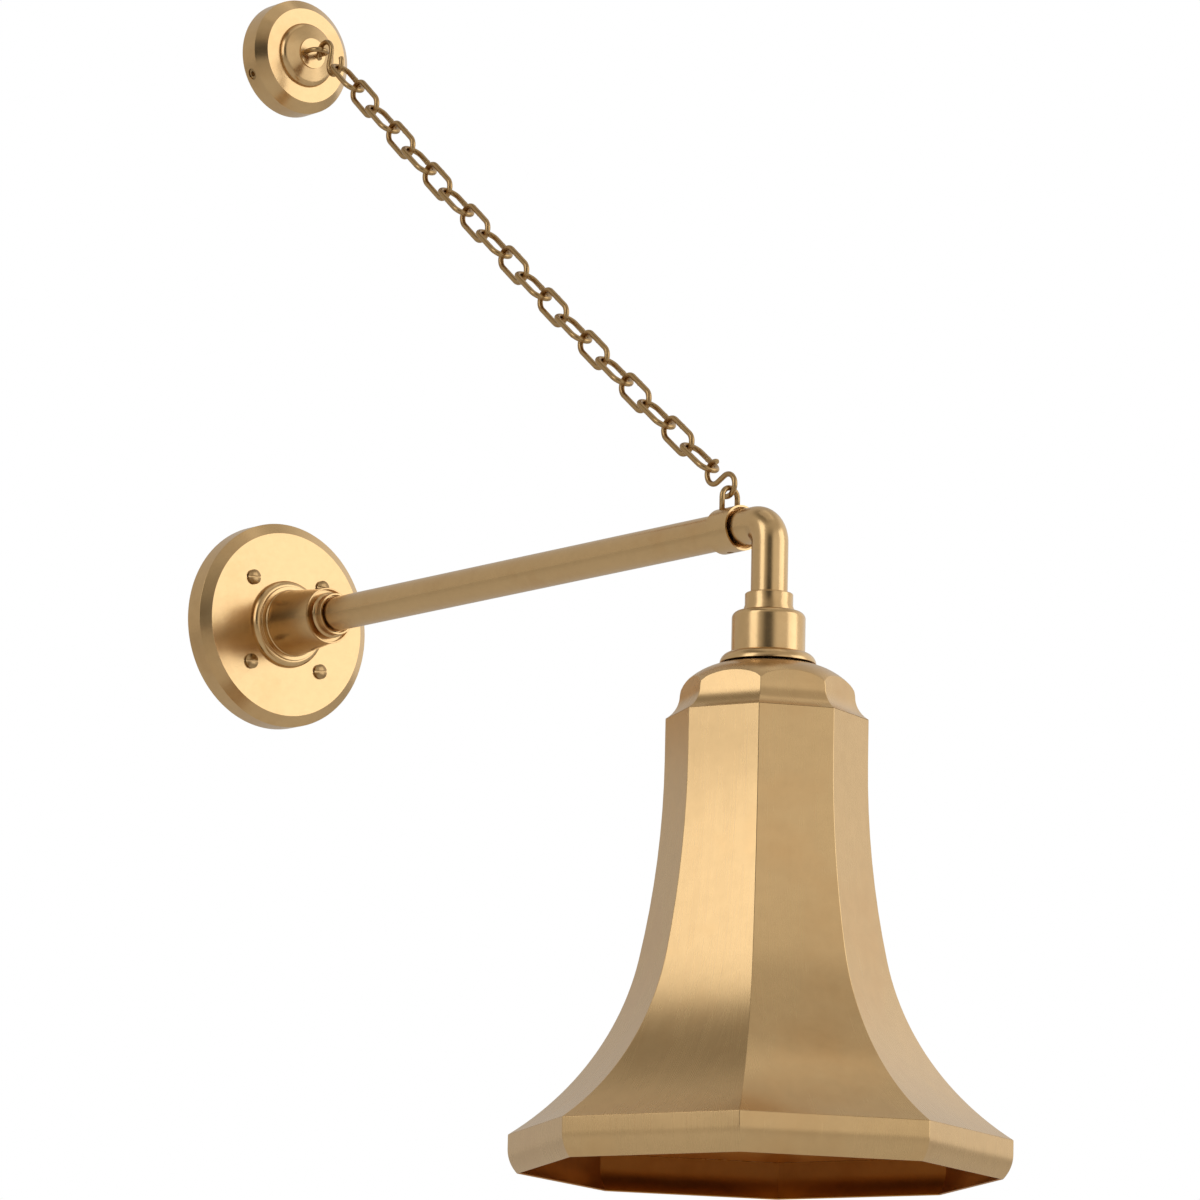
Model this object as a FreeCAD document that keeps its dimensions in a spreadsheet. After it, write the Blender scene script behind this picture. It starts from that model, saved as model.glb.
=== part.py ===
import FreeCAD, Part
import math
import os
from types import SimpleNamespace

import Sketcher
from FreeCAD import Placement, Rotation, Vector

# Wall sconce: a round wall plate carries a straight arm, a chain from a small canopy above it
# stays the arm's end, and an elbow hangs an eight-sided bell shade over a screw lampholder.
#
# Frame, in millimetres: the wall is the plane y = 0 and the room is at -y, +z is up, and the
# origin is the centre of the wall plate on the wall. The arm runs along -y at z = 0.

os.makedirs("parts", exist_ok=True)
doc = FreeCAD.newDocument("wall_sconce")

# ---------------------------------------------------------------------------------------------
# Driving dimensions
# ---------------------------------------------------------------------------------------------

SIZES = {
    "wall plate": {
        "plate_radius": 69.85,
        "plate_rim_depth": 13.5,
        "plate_face_radius": 62.8,
        "plate_depth": 18.0,
        "plate_wall": 2.0,
        "screw_circle_radius": 41.0,
        "screw_head_radius": 5.1,
        "screw_head_height": 2.4,
        "screw_head_edge": 0.8,
        "screw_head_flat_radius": 3.3,
        "screw_slot_width": 1.4,
        "screw_slot_depth": 1.3,
        "screw_shank_radius": 2.4,
        "screw_tip_depth": 0.8,
        "screw_clearance": 0.15,
    },
    "mounting bracket": {
        "bracket_radius": 54.0,
        "bracket_thickness": 2.5,
        "bracket_wire_hole_radius": 15.0,
        "bracket_boss_radius": 4.6,
        "bracket_boss_height": 3.0,
        "box_hole_spacing": 88.9,
        "box_hole_radius": 2.25,
    },
    "arm": {
        "arm_radius": 11.5,
        "arm_wall": 1.2,
        "arm_fit": 0.1,
        "arm_back_depth": 9.0,
        "arm_reach": 522.5,
        "lock_nut_height": 5.5,
        "lock_nut_flat_radius": 17.0,
        "base_bead_radius": 29.8,
        "base_bead_round": 4.0,
        "base_bead_skirt": 0.8,
        "base_step_radius": 25.4,
        "base_step_height": 1.5,
        "socket_back_radius": 22.9,
        "socket_front_radius": 18.9,
        "socket_length": 41.8,
        "socket_lip_width": 1.1,
        "socket_lip_height": 0.5,
        "socket_recess_depth": 2.4,
        "ring_bead_radius": 15.5,
        "ring_bead_length": 5.8,
        "ring_bead_chamfer": 1.2,
        "ring_groove_width": 0.8,
        "ring_nose_radius": 14.1,
        "ring_nose_length": 4.8,
        "ring_mouth_radius": 12.7,
        "ring_mouth_depth": 3.5,
    },
    "end collar and swivel": {
        "collar_radius": 14.4,
        "collar_length": 21.0,
        "collar_back_chamfer": 1.6,
        "collar_mouth_radius": 13.2,
        "collar_mouth_depth": 6.0,
        "collar_web": 3.0,
        "collar_front_gap": 26.5,
        "collar_screw_setback": 11.4,
        "collar_screw_radius": 2.0,
        "collar_screw_recess": 0.4,
        "stem_radius": 7.0,
        "stem_bore_radius": 5.5,
        "stem_fit": 0.08,
        "stem_flange_length": 6.0,
        "swivel_nut_length": 5.0,
        "swivel_nut_gap": 0.4,
        "stem_end_length": 2.5,
        "running_gap": 0.3,
    },
    "elbow and socket cup": {
        "elbow_wall": 1.5,
        "elbow_bend_radius": 13.5,
        "neck_top_drop": 45.5,
        "neck_radius": 15.0,
        "neck_foot_radius": 15.9,
        "neck_foot_height": 1.2,
        "neck_flare_height": 2.8,
        "neck_chamfer": 0.6,
        "neck_height": 11.7,
        "neck_web": 4.2,
        "cup_radius": 22.9,
        "cup_height": 26.0,
        "cup_round": 4.3,
        "cup_wall": 1.2,
        "flange_radius": 30.0,
        "flange_height": 6.8,
        "flange_edge": 0.5,
        "nipple_radius": 5.0,
        "nipple_bore_radius": 3.5,
        "nipple_fit": 0.05,
        "nipple_nut_height": 4.0,
        "nipple_nut_flat_radius": 7.5,
        "nipple_end_length": 2.0,
    },
    "lampholder": {
        "holder_top_gap": 1.6,
        "holder_radius": 18.4,
        "holder_shoulder_drop": 20.0,
        "holder_skirt_radius": 19.3,
        "holder_skirt_below_flange": 14.0,
        "holder_cavity_radius": 14.6,
        "holder_floor": 10.0,
        "thread_radius": 13.25,
        "thread_wall": 0.6,
        "thread_top_gap": 3.0,
        "thread_set_in": 3.0,
        "thread_crown_hole_radius": 8.0,
        "contact_radius": 4.5,
        "contact_height": 3.4,
        "contact_crown": 1.0,
        "shade_nut_radius": 24.0,
        "shade_nut_flange": 2.0,
        "shade_nut_grip_radius": 22.2,
        "shade_nut_height": 5.8,
        "shade_nut_fit": 0.1,
    },
    "shade": {
        "shade_wall": 1.2,
        "dome_flat_radius": 20.5,
        "dome_radius": 43.3,
        "dome_angle": 46.0,
        "dome_shoulder_radius": 12.3,
        "cap_facet_apothem": 50.3,
        "cap_facet_height": 19.7,
        "cap_cove_drop": 14.6,
        "cap_cove_radius": 17.2,
        "bell_neck_apothem": 58.2,
        "bell_straight_length": 26.0,
        "bell_upper_radius": 621.7,
        "bell_upper_angle": 11.52,
        "bell_foot_angle": 55.84,
        "bell_height": 258.7,
        "rim_straight_length": 8.7,
        "rim_round_radius": 23.0,
        "rim_round_angle": 41.9,
    },
    "canopy": {
        "canopy_radius": 39.9,
        "canopy_wall": 2.0,
        "canopy_rim_depth": 14.0,
        "canopy_face_radius": 33.1,
        "canopy_depth": 20.0,
        "canopy_step_radius": 22.5,
        "canopy_step_rise": 4.4,
        "canopy_step_round": 4.6,
        "canopy_dome_radius": 18.9,
        "canopy_dome_rise": 2.1,
        "canopy_boss_radius": 10.6,
        "canopy_boss_height": 1.2,
        "canopy_screw_radius": 3.6,
        "canopy_screw_depth": 6.7,
        "canopy_screw_angle": 206.0,
        "canopy_screw_recess": 0.8,
        "canopy_screw_socket": 1.8,
        "canopy_bracket_gap": 0.9,
        "canopy_bracket_wall": 2.0,
        "canopy_bracket_height": 10.5,
        "canopy_hole_spacing": 40.0,
        "canopy_hole_radius": 2.25,
    },
    "chain": {
        "loop_wire_radius": 1.75,
        "loop_half_width": 6.2,
        "loop_stand": 12.8,
        "loop_setback": 13.0,
        "canopy_loop_stand": 11.8,
        "canopy_loop_end": 1.0,
        "loop_fit": 0.05,
        "hook_wire_radius": 1.75,
        "hook_bend_radius": 7.2,
        "hook_centres": 16.0,
        "hook_bend_angle": 226.0,
        "link_wire_radius": 1.75,
        "link_length": 35.2,
        "link_width": 17.6,
        "link_gap": 0.3,
        "chain_sag_angle": 4.0,
    },
}

LINK_COUNT = 19
BEND_STEP = 30.0  # degrees turned at each mitre of a wire's bend
WIRE_SIDES = 8
SHADE_SIDES = 8
HALF_SIDE = math.pi / SHADE_SIDES

sheet = doc.addObject("Spreadsheet::Sheet", "sizes")
row = 1
for group, entries in SIZES.items():
    sheet.set(f"A{row}", group)
    row += 1
    for alias, value in entries.items():
        sheet.set(f"A{row}", alias.replace("_", " "))
        sheet.set(f"B{row}", str(value))
        sheet.setAlias(f"B{row}", alias)
        row += 1
doc.recompute()


class Size:
    """A dimension: its value, and the expression on the sheet that it is bound to."""

    def __init__(self, value, text):
        self.value = value
        self.text = text

    def __add__(self, other):
        other = as_size(other)
        return Size(self.value + other.value, f"({self.text} + {other.text})")

    def __sub__(self, other):
        other = as_size(other)
        return Size(self.value - other.value, f"({self.text} - {other.text})")

    def __mul__(self, other):
        other = as_size(other)
        return Size(self.value * other.value, f"({self.text} * {other.text})")

    def __truediv__(self, other):
        other = as_size(other)
        return Size(self.value / other.value, f"({self.text} / {other.text})")

    def __neg__(self):
        return Size(-self.value, f"(0 - {self.text})")

    def __rsub__(self, other):
        return as_size(other) - self

    __radd__ = __add__
    __rmul__ = __mul__


def as_size(number):
    return number if isinstance(number, Size) else Size(float(number), f"{float(number):.9f}")


def root(size):
    return Size(math.sqrt(size.value), f"sqrt({size.text})")


def cosine(angle):
    return Size(math.cos(math.radians(angle.value)), f"cos({angle.text} * 1 deg)")


def sine(angle):
    return Size(math.sin(math.radians(angle.value)), f"sin({angle.text} * 1 deg)")


mm = SimpleNamespace(
    **{
        alias: Size(value, f"sizes.{alias}")
        for entries in SIZES.values()
        for alias, value in entries.items()
    }
)

# ---------------------------------------------------------------------------------------------
# Building blocks
# ---------------------------------------------------------------------------------------------

# A turned piece is drawn with its axis along its own Z. Along the arm that axis points out of the
# wall, and on the pendant it stays upright.
OUT_OF_WALL = Rotation(Vector(1, 0, 0), 90)
UPRIGHT = Rotation()


def set_position(thing, rotation, x=0.0, y=0.0, z=0.0):
    spot = {"x": as_size(x), "y": as_size(y), "z": as_size(z)}
    thing.Placement = Placement(Vector(*(size.value for size in spot.values())), rotation)
    for axis, size in spot.items():
        if size.value:
            thing.setExpression(f"Placement.Base.{axis}", size.text)


def new_body(label, rotation=UPRIGHT, x=0.0, y=0.0, z=0.0):
    body = doc.addObject("PartDesign::Body", label)
    body.Label = label
    set_position(body, rotation, x, y, z)
    return body


def new_sketch(body, name, role):
    sketch = body.newObject("Sketcher::SketchObject", name)
    plane = [feature for feature in body.Origin.OriginFeatures if feature.Role == role][0]
    sketch.AttachmentSupport = [(plane, "")]
    sketch.MapMode = "FlatFace"
    return sketch


def bind(sketch, constraints):
    """Adds the constraints, and ties each one that comes with a size to the sheet."""
    first = sketch.ConstraintCount
    sketch.addConstraint([constraint for constraint, size in constraints])
    for offset, (constraint, size) in enumerate(constraints):
        if size is not None:
            sketch.setExpression(f"Constraints[{first + offset}]", size.text)


def pin_point(edge, end, x, y):
    """Constraints that hold one end of an edge at (x, y), on the axis itself where that is 0."""
    held = []
    for kind, axis, size in (("DistanceX", -2, as_size(x)), ("DistanceY", -1, as_size(y))):
        if abs(size.value) < 1e-9:
            held.append((Sketcher.Constraint("PointOnObject", edge, end, axis), None))
        else:
            held.append((Sketcher.Constraint(kind, -1, 1, edge, end, size.value), size))
    return held


def arc_between(start, end, bend):
    """The short arc of radius bend from start to end; a negative bend turns clockwise."""
    chord = end - start
    half = chord.Length / 2
    rise = math.sqrt(max(bend.value**2 - half**2, 0.0))
    left = Vector(-chord.y, chord.x, 0).normalize()
    centre = (start + end) * 0.5 + left * math.copysign(rise, bend.value)
    angles = [math.atan2(p.y - centre.y, p.x - centre.x) for p in (start, end)]
    if bend.value < 0:
        angles.reverse()
    circle = Part.Circle(centre, Vector(0, 0, 1), abs(bend.value))
    return Part.ArcOfCircle(circle, *angles)


def draw_path(sketch, corners, closed):
    """Lines and arcs through the corners.

    A corner is (x, y), or (x, y, bend) where an arc of that radius leaves it for the next one.
    """
    points = [Vector(as_size(c[0]).value, as_size(c[1]).value, 0) for c in corners]
    count = len(corners) if closed else len(corners) - 1
    edges, constraints, ends = [], [], []
    for i in range(count):
        start, end = points[i], points[(i + 1) % len(corners)]
        bend = as_size(corners[i][2]) if len(corners[i]) > 2 else None
        if bend is None:
            edges.append(Part.LineSegment(start, end))
            ends.append((1, 2))
        else:
            edges.append(arc_between(start, end, bend))
            ends.append((1, 2) if bend.value > 0 else (2, 1))
            radius = bend if bend.value > 0 else -bend
            constraints.append((Sketcher.Constraint("Radius", i, radius.value), radius))
    sketch.addGeometry(edges)
    joints = range(count) if closed else range(1, count)
    for i in joints:
        j = (i - 1) % count
        meet = Sketcher.Constraint("Coincident", j, ends[j][1], i, ends[i][0])
        constraints.append((meet, None))
    for i in range(count):
        constraints += pin_point(i, ends[i][0], corners[i][0], corners[i][1])
    if not closed:
        constraints += pin_point(count - 1, ends[-1][1], corners[-1][0], corners[-1][1])
    bind(sketch, constraints)


def draw_circles(sketch, circles):
    for x, y, radius in circles:
        x, y, radius = as_size(x), as_size(y), as_size(radius)
        edge = sketch.GeometryCount
        sketch.addGeometry(Part.Circle(Vector(x.value, y.value, 0), Vector(0, 0, 1), radius.value))
        size = (Sketcher.Constraint("Radius", edge, radius.value), radius)
        bind(sketch, [size] + pin_point(edge, 3, x, y))


def polygon(flat_radius, sides, x=0.0, y=0.0):
    """Corners of a regular polygon whose sides lie flat_radius from (x, y)."""
    corner_radius = flat_radius / math.cos(math.pi / sides)
    angles = [math.pi * (2 * i + 1) / sides for i in range(sides)]
    return [(x + corner_radius * math.cos(a), y + corner_radius * math.sin(a)) for a in angles]


def turn(body, corners):
    """Turns the closed outline of (radius, height) corners once round the body's Z axis."""
    profile = new_sketch(body, body.Label + "_profile", "XZ_Plane")
    draw_path(profile, corners, closed=True)
    spin = body.newObject("PartDesign::Revolution", body.Label + "_turned")
    spin.Profile = profile
    spin.ReferenceAxis = (profile, ["V_Axis"])
    spin.Angle = 360
    body.Tip = spin
    return spin


def cut(body, name, role, draw, side="Symmetric", depth=None, reverse=False):
    """Cuts away what draw(sketch) outlines, all the way through the body or to a depth."""
    doc.recompute()
    before = body.Shape.Volume
    sketch = new_sketch(body, f"{body.Label}_{name}_outline", role)
    draw(sketch)
    pocket = body.newObject("PartDesign::Pocket", f"{body.Label}_{name}")
    pocket.Profile = sketch
    pocket.SideType = side
    pocket.Reversed = reverse
    if depth is None:
        pocket.Type = "ThroughAll"
    else:
        pocket.Type = "Length"
        pocket.Length = depth.value
        pocket.setExpression("Length", depth.text)
    body.Tip = pocket
    doc.recompute()
    if body.Shape.Volume > before - 0.01:
        raise ValueError(f"{body.Label}: {name} cuts nothing")
    return pocket


def repeat_round(body, feature, copies):
    pattern = body.newObject("PartDesign::PolarPattern", f"{feature.Name}_pattern")
    pattern.Originals = [feature]
    pattern.Axis = (feature.Profile[0], ["N_Axis"])
    pattern.Angle = 360
    pattern.Occurrences = copies
    body.Tip = pattern


def nut(label, flat_radius, bore_radius, bottom, height, rotation, **spot):
    """A hexagon nut whose underside is at the given height on its axis."""
    body = new_body(label, rotation, **spot)
    outline = new_sketch(body, f"{label}_outline", "XY_Plane")
    draw_path(outline, polygon(flat_radius, 6), closed=True)
    draw_circles(outline, [(0, 0, bore_radius)])
    outline.AttachmentOffset = Placement(Vector(0, 0, bottom.value), Rotation())
    outline.setExpression("AttachmentOffset.Base.z", bottom.text)
    pad = body.newObject("PartDesign::Pad", f"{label}_pad")
    pad.Profile = outline
    pad.Length = height.value
    pad.setExpression("Length", height.text)
    body.Tip = pad
    return body


def swept(body, path, section, transition="Transformed"):
    """Sweeps section(sketch) along the path, drawn on the body's XY plane from where x is 0."""
    spine = new_sketch(body, body.Label + "_path", "XY_Plane")
    draw_path(spine, path, closed=False)
    profile = new_sketch(body, body.Label + "_section", "YZ_Plane")
    section(profile)
    pipe = body.newObject("PartDesign::AdditivePipe", body.Label + "_sweep")
    pipe.Profile = profile
    pipe.Spine = (spine, [f"Edge{i + 1}" for i in range(len(path) - 1)])
    pipe.Transition = transition
    body.Tip = pipe
    return pipe


def wire_form(body, path, wire_radius):
    """Bent wire, eight-sided inside the round wire's surface, with mitred bends."""
    flat_radius = wire_radius * math.cos(math.pi / WIRE_SIDES)
    corners = polygon(flat_radius, WIRE_SIDES, x=path[0][1])
    return swept(body, path, lambda sketch: draw_path(sketch, corners, closed=True), "Right corner")


def bend_points(centre_x, centre_y, radius, first, last):
    """Corners along a bend, from one angle to another in degrees, a mitre every BEND_STEP."""
    steps = max(1, round(abs(last - first) / BEND_STEP))
    angles = [math.radians(first + (last - first) * i / steps) for i in range(steps + 1)]
    return [(centre_x + radius * math.cos(a), centre_y + radius * math.sin(a)) for a in angles]


def copy_of(master, label, rotation, spot):
    """A body with the master's shape, at its own place."""
    body = doc.addObject("PartDesign::Body", label)
    body.Label = label
    base = body.newObject("PartDesign::FeatureBase", f"{label}_base")
    base.BaseFeature = master
    body.Placement = Placement(spot, rotation)
    return body


def in_room(out, up):
    """The point on the plane of the arm and chain that is out from the wall and up from the arm."""
    return Vector(0, -out, up)


# ---------------------------------------------------------------------------------------------
# Wall plate, its screws and the bracket behind it
# ---------------------------------------------------------------------------------------------

arm_bore = mm.arm_radius + mm.arm_fit
screw_bore = mm.screw_shank_radius + mm.screw_clearance
screw_spot = mm.screw_circle_radius * math.sqrt(0.5)
plate_inside = mm.plate_depth - mm.plate_wall


def wall_plate():
    body = new_body("wall_plate", OUT_OF_WALL)
    turn(
        body,
        [
            (mm.plate_radius - mm.plate_wall, 0),
            (mm.plate_radius, 0),
            (mm.plate_radius, mm.plate_rim_depth),
            (mm.plate_face_radius, mm.plate_depth),
            (arm_bore, mm.plate_depth),
            (arm_bore, plate_inside),
            (mm.plate_face_radius - mm.plate_wall / 2, plate_inside),
            (mm.plate_radius - mm.plate_wall, mm.plate_rim_depth - mm.plate_wall / 2),
        ],
    )
    hole = cut(
        body,
        "screw_hole",
        "XY_Plane",
        lambda sketch: draw_circles(sketch, [(screw_spot, screw_spot, screw_bore)]),
    )
    repeat_round(body, hole, 4)
    return body


def plate_screws():
    """Four slotted round-head screws, from the plate's face to the bracket's threads."""
    master = new_body("plate_screw_master")
    top = mm.plate_depth + mm.screw_head_height
    turn(
        master,
        [
            (0, mm.screw_tip_depth),
            (mm.screw_shank_radius, mm.screw_tip_depth),
            (mm.screw_shank_radius, mm.plate_depth),
            (mm.screw_head_radius, mm.plate_depth),
            (mm.screw_head_radius, mm.plate_depth + mm.screw_head_edge),
            (mm.screw_head_flat_radius, top),
            (0, top),
        ],
    )
    slot = [
        (-mm.screw_slot_width / 2, top - mm.screw_slot_depth),
        (mm.screw_slot_width / 2, top - mm.screw_slot_depth),
        (mm.screw_slot_width / 2, top + 1),
        (-mm.screw_slot_width / 2, top + 1),
    ]
    cut(master, "slot", "YZ_Plane", lambda sketch: draw_path(sketch, slot, closed=True))
    # Each slot was left a few degrees off level when its screw was tightened.
    slot_turns = {(-1, 1): 4.0, (1, 1): -2.0, (-1, -1): 3.0, (1, -1): 7.0}
    screws = []
    for (across, up), slot_turn in slot_turns.items():
        spot = Vector(across * screw_spot.value, 0, up * screw_spot.value)
        twist = OUT_OF_WALL.multiply(Rotation(Vector(0, 0, 1), slot_turn))
        screws.append(copy_of(master, f"plate_screw_{len(screws) + 1}", twist, spot))
    group = doc.addObject("Part::Compound", "plate_screws")
    group.Label = "plate_screws"
    group.Links = screws
    return group


def mounting_bracket():
    """Steel disc on the outlet box, with a drawn and tapped boss for each plate screw."""
    body = new_body("mounting_bracket", OUT_OF_WALL)
    turn(
        body,
        [
            (mm.bracket_wire_hole_radius, 0),
            (mm.bracket_radius, 0),
            (mm.bracket_radius, mm.bracket_thickness),
            (mm.bracket_wire_hole_radius, mm.bracket_thickness),
        ],
    )
    boss_outline = new_sketch(body, "bracket_boss_outline", "XY_Plane")
    draw_circles(boss_outline, [(screw_spot, screw_spot, mm.bracket_boss_radius)])
    boss = body.newObject("PartDesign::Pad", "bracket_boss")
    boss.Profile = boss_outline
    boss.Length = (mm.bracket_thickness + mm.bracket_boss_height).value
    boss.setExpression("Length", (mm.bracket_thickness + mm.bracket_boss_height).text)
    repeat_round(body, boss, 4)
    tapped = cut(
        body,
        "tapped_hole",
        "XY_Plane",
        lambda sketch: draw_circles(
            sketch, [(screw_spot, screw_spot, mm.screw_shank_radius + mm.arm_fit)]
        ),
    )
    repeat_round(body, tapped, 4)
    half = mm.box_hole_spacing / 2
    cut(
        body,
        "box_holes",
        "XY_Plane",
        lambda sketch: draw_circles(
            sketch, [(half, 0, mm.box_hole_radius), (-half, 0, mm.box_hole_radius)]
        ),
    )
    return body


# ---------------------------------------------------------------------------------------------
# Arm: base ring, tapered socket, stepped ring, tube and its lock nut
# ---------------------------------------------------------------------------------------------

bead_top = mm.plate_depth + mm.base_bead_skirt + mm.base_bead_round
base_top = bead_top + mm.base_step_height
socket_front = base_top + mm.socket_length
ring_back = socket_front - mm.socket_recess_depth
bead_front = ring_back + mm.ring_bead_length
ring_front = bead_front + mm.ring_groove_width + mm.ring_nose_length

collar_front = mm.arm_reach - mm.collar_front_gap
collar_back = collar_front - mm.collar_length
web_front = collar_front - mm.collar_mouth_depth
web_back = web_front - mm.collar_web
elbow_back = web_front + mm.running_gap


def base_ring():
    body = new_body("base_ring", OUT_OF_WALL)
    skirt_top = mm.plate_depth + mm.base_bead_skirt
    bead_inner = mm.base_bead_radius - mm.base_bead_round
    turn(
        body,
        [
            (arm_bore, mm.plate_depth),
            (mm.base_bead_radius, mm.plate_depth),
            (mm.base_bead_radius, skirt_top, mm.base_bead_round),
            (bead_inner, bead_top),
            (mm.base_step_radius, bead_top),
            (mm.base_step_radius, base_top),
            (arm_bore, base_top),
        ],
    )
    return body


def arm_socket():
    body = new_body("arm_socket", OUT_OF_WALL)
    lip = mm.socket_lip_width
    back_taper = mm.socket_back_radius - mm.socket_lip_height
    front_taper = mm.socket_front_radius - mm.socket_lip_height
    turn(
        body,
        [
            (arm_bore, base_top),
            (mm.socket_back_radius, base_top),
            (mm.socket_back_radius, base_top + lip),
            (back_taper, base_top + lip + mm.socket_lip_height),
            (front_taper, socket_front - lip - mm.socket_lip_height),
            (mm.socket_front_radius, socket_front - lip),
            (mm.socket_front_radius, socket_front),
            (mm.socket_front_radius - lip, socket_front),
            (mm.socket_front_radius - lip, ring_back),
            (arm_bore, ring_back),
        ],
    )
    return body


def arm_ring():
    body = new_body("arm_ring", OUT_OF_WALL)
    bead_inner = mm.ring_bead_radius - mm.ring_bead_chamfer
    groove_floor = mm.ring_nose_radius - mm.socket_lip_height
    turn(
        body,
        [
            (arm_bore, ring_back),
            (mm.ring_bead_radius, ring_back),
            (mm.ring_bead_radius, bead_front - mm.ring_bead_chamfer),
            (bead_inner, bead_front),
            (groove_floor, bead_front),
            (groove_floor, bead_front + mm.ring_groove_width),
            (mm.ring_nose_radius, bead_front + mm.ring_groove_width),
            (mm.ring_nose_radius, ring_front),
            (mm.ring_mouth_radius, ring_front),
            (mm.ring_mouth_radius, ring_front - mm.ring_mouth_depth),
            (arm_bore, ring_front - mm.ring_mouth_depth),
        ],
    )
    return body


def arm_tube():
    body = new_body("arm_tube", OUT_OF_WALL)
    front = web_back - mm.running_gap
    turn(
        body,
        [
            (mm.arm_radius - mm.arm_wall, mm.arm_back_depth),
            (mm.arm_radius, mm.arm_back_depth),
            (mm.arm_radius, front),
            (mm.arm_radius - mm.arm_wall, front),
        ],
    )
    return body


def lock_nut():
    bottom = plate_inside - mm.lock_nut_height
    return nut(
        "lock_nut", mm.lock_nut_flat_radius, arm_bore, bottom, mm.lock_nut_height, OUT_OF_WALL
    )


# ---------------------------------------------------------------------------------------------
# End collar with its chain loop and set screw, and the swivel inside it
# ---------------------------------------------------------------------------------------------

loop_out = collar_front - mm.loop_setback
loop_crown = mm.collar_radius + mm.loop_stand
leg_hole = mm.loop_wire_radius + mm.loop_fit
screw_out = collar_front - mm.collar_screw_setback


def end_collar():
    body = new_body("end_collar", OUT_OF_WALL)
    turn(
        body,
        [
            (arm_bore, collar_back),
            (mm.collar_radius - mm.collar_back_chamfer, collar_back),
            (mm.collar_radius, collar_back + mm.collar_back_chamfer),
            (mm.collar_radius, collar_front),
            (mm.collar_mouth_radius, collar_front),
            (mm.collar_mouth_radius, web_front),
            (mm.stem_radius + mm.stem_fit, web_front),
            (mm.stem_radius + mm.stem_fit, web_back),
            (arm_bore, web_back),
        ],
    )
    legs = [(side * mm.loop_half_width, loop_out, leg_hole) for side in (1, -1)]
    cut(body, "loop_holes", "XZ_Plane", lambda sketch: draw_circles(sketch, legs), "One side")
    grub = [(0, screw_out, mm.collar_screw_radius + mm.arm_fit)]
    cut(
        body,
        "screw_hole",
        "XZ_Plane",
        lambda sketch: draw_circles(sketch, grub),
        "One side",
        reverse=True,
    )
    return body


def staple(label, out, foot, stand, y, z):
    """Bent wire staple: its legs start at (0, y, z) and its crown stands out from there."""
    across = Vector(1, 0, 0)
    body = new_body(label, Rotation(out, across, out.cross(across), "XYZ"), y=y, z=z)
    half = mm.loop_half_width
    crown = bend_points(stand - foot - half, 0, half, -90, 90)
    wire_form(body, [(0, -half)] + crown + [(0, half)], mm.loop_wire_radius)
    return body


def chain_loop():
    """Staple brazed into the top of the collar, across the arm."""
    half = mm.loop_half_width
    surface = root(mm.collar_radius * mm.collar_radius - half * half)
    foot = surface - (mm.collar_radius - mm.arm_radius) / 2
    return staple("chain_loop", Vector(0, 0, 1), foot, loop_crown, -loop_out, foot)


def collar_set_screw():
    """Grub screw under the collar, bearing on the arm tube."""
    body = new_body("collar_set_screw", Rotation(Vector(1, 0, 0), 180), y=-screw_out)
    end = mm.collar_radius - mm.collar_screw_recess
    turn(
        body,
        [
            (0, arm_bore),
            (mm.collar_screw_radius, arm_bore),
            (mm.collar_screw_radius, end),
            (0, end),
        ],
    )
    slot_half = mm.collar_screw_radius / 5
    slot = [(-slot_half, end - 1), (slot_half, end - 1), (slot_half, end + 1), (-slot_half, end + 1)]
    cut(body, "slot", "YZ_Plane", lambda sketch: draw_path(sketch, slot, closed=True))
    return body


def swivel_stem():
    """Hollow stem brazed into the elbow; it turns in the collar's web when the elbow is set."""
    body = new_body("swivel_stem", OUT_OF_WALL)
    flange = mm.arm_radius - mm.elbow_wall - mm.arm_fit
    back = web_back - mm.running_gap - mm.swivel_nut_length - mm.stem_end_length
    turn(
        body,
        [
            (mm.stem_bore_radius, back),
            (mm.stem_radius, back),
            (mm.stem_radius, elbow_back),
            (flange, elbow_back),
            (flange, elbow_back + mm.stem_flange_length),
            (mm.stem_bore_radius, elbow_back + mm.stem_flange_length),
        ],
    )
    return body


def swivel_nut():
    body = new_body("swivel_nut", OUT_OF_WALL)
    front = web_back - mm.running_gap
    outer = mm.arm_radius - mm.arm_wall - mm.swivel_nut_gap
    inner = mm.stem_radius + mm.nipple_fit
    turn(
        body,
        [
            (inner, front - mm.swivel_nut_length),
            (outer, front - mm.swivel_nut_length),
            (outer, front),
            (inner, front),
        ],
    )
    return body


# ---------------------------------------------------------------------------------------------
# Elbow, neck collar, socket cup and flange, down the pendant's axis
# ---------------------------------------------------------------------------------------------

neck_bottom = -(mm.neck_top_drop + mm.neck_height)
web_top = neck_bottom + mm.neck_web
elbow_bottom = web_top + mm.running_gap
cup_bottom = neck_bottom - mm.cup_height
flange_bottom = cup_bottom - mm.flange_height
nipple_bore = mm.nipple_radius + mm.nipple_fit
holder_top = neck_bottom - mm.cup_wall - mm.holder_top_gap


def on_pendant(label):
    return new_body(label, UPRIGHT, y=-mm.arm_reach)


def elbow():
    """Tube bent through a tight quarter turn, from the collar's mouth down to the neck."""
    arm_to_drop = Rotation(Vector(0, -1, 0), Vector(0, 0, 1), Vector(-1, 0, 0), "XYZ")
    body = new_body("elbow", arm_to_drop, y=-elbow_back)
    level = mm.arm_reach - elbow_back
    bend = mm.elbow_bend_radius
    path = [(0, 0), (level - bend, 0, -bend), (level, -bend), (level, elbow_bottom)]
    rings = [(0, 0, mm.arm_radius), (0, 0, mm.arm_radius - mm.elbow_wall)]
    swept(body, path, lambda sketch: draw_circles(sketch, rings))
    return body


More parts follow.
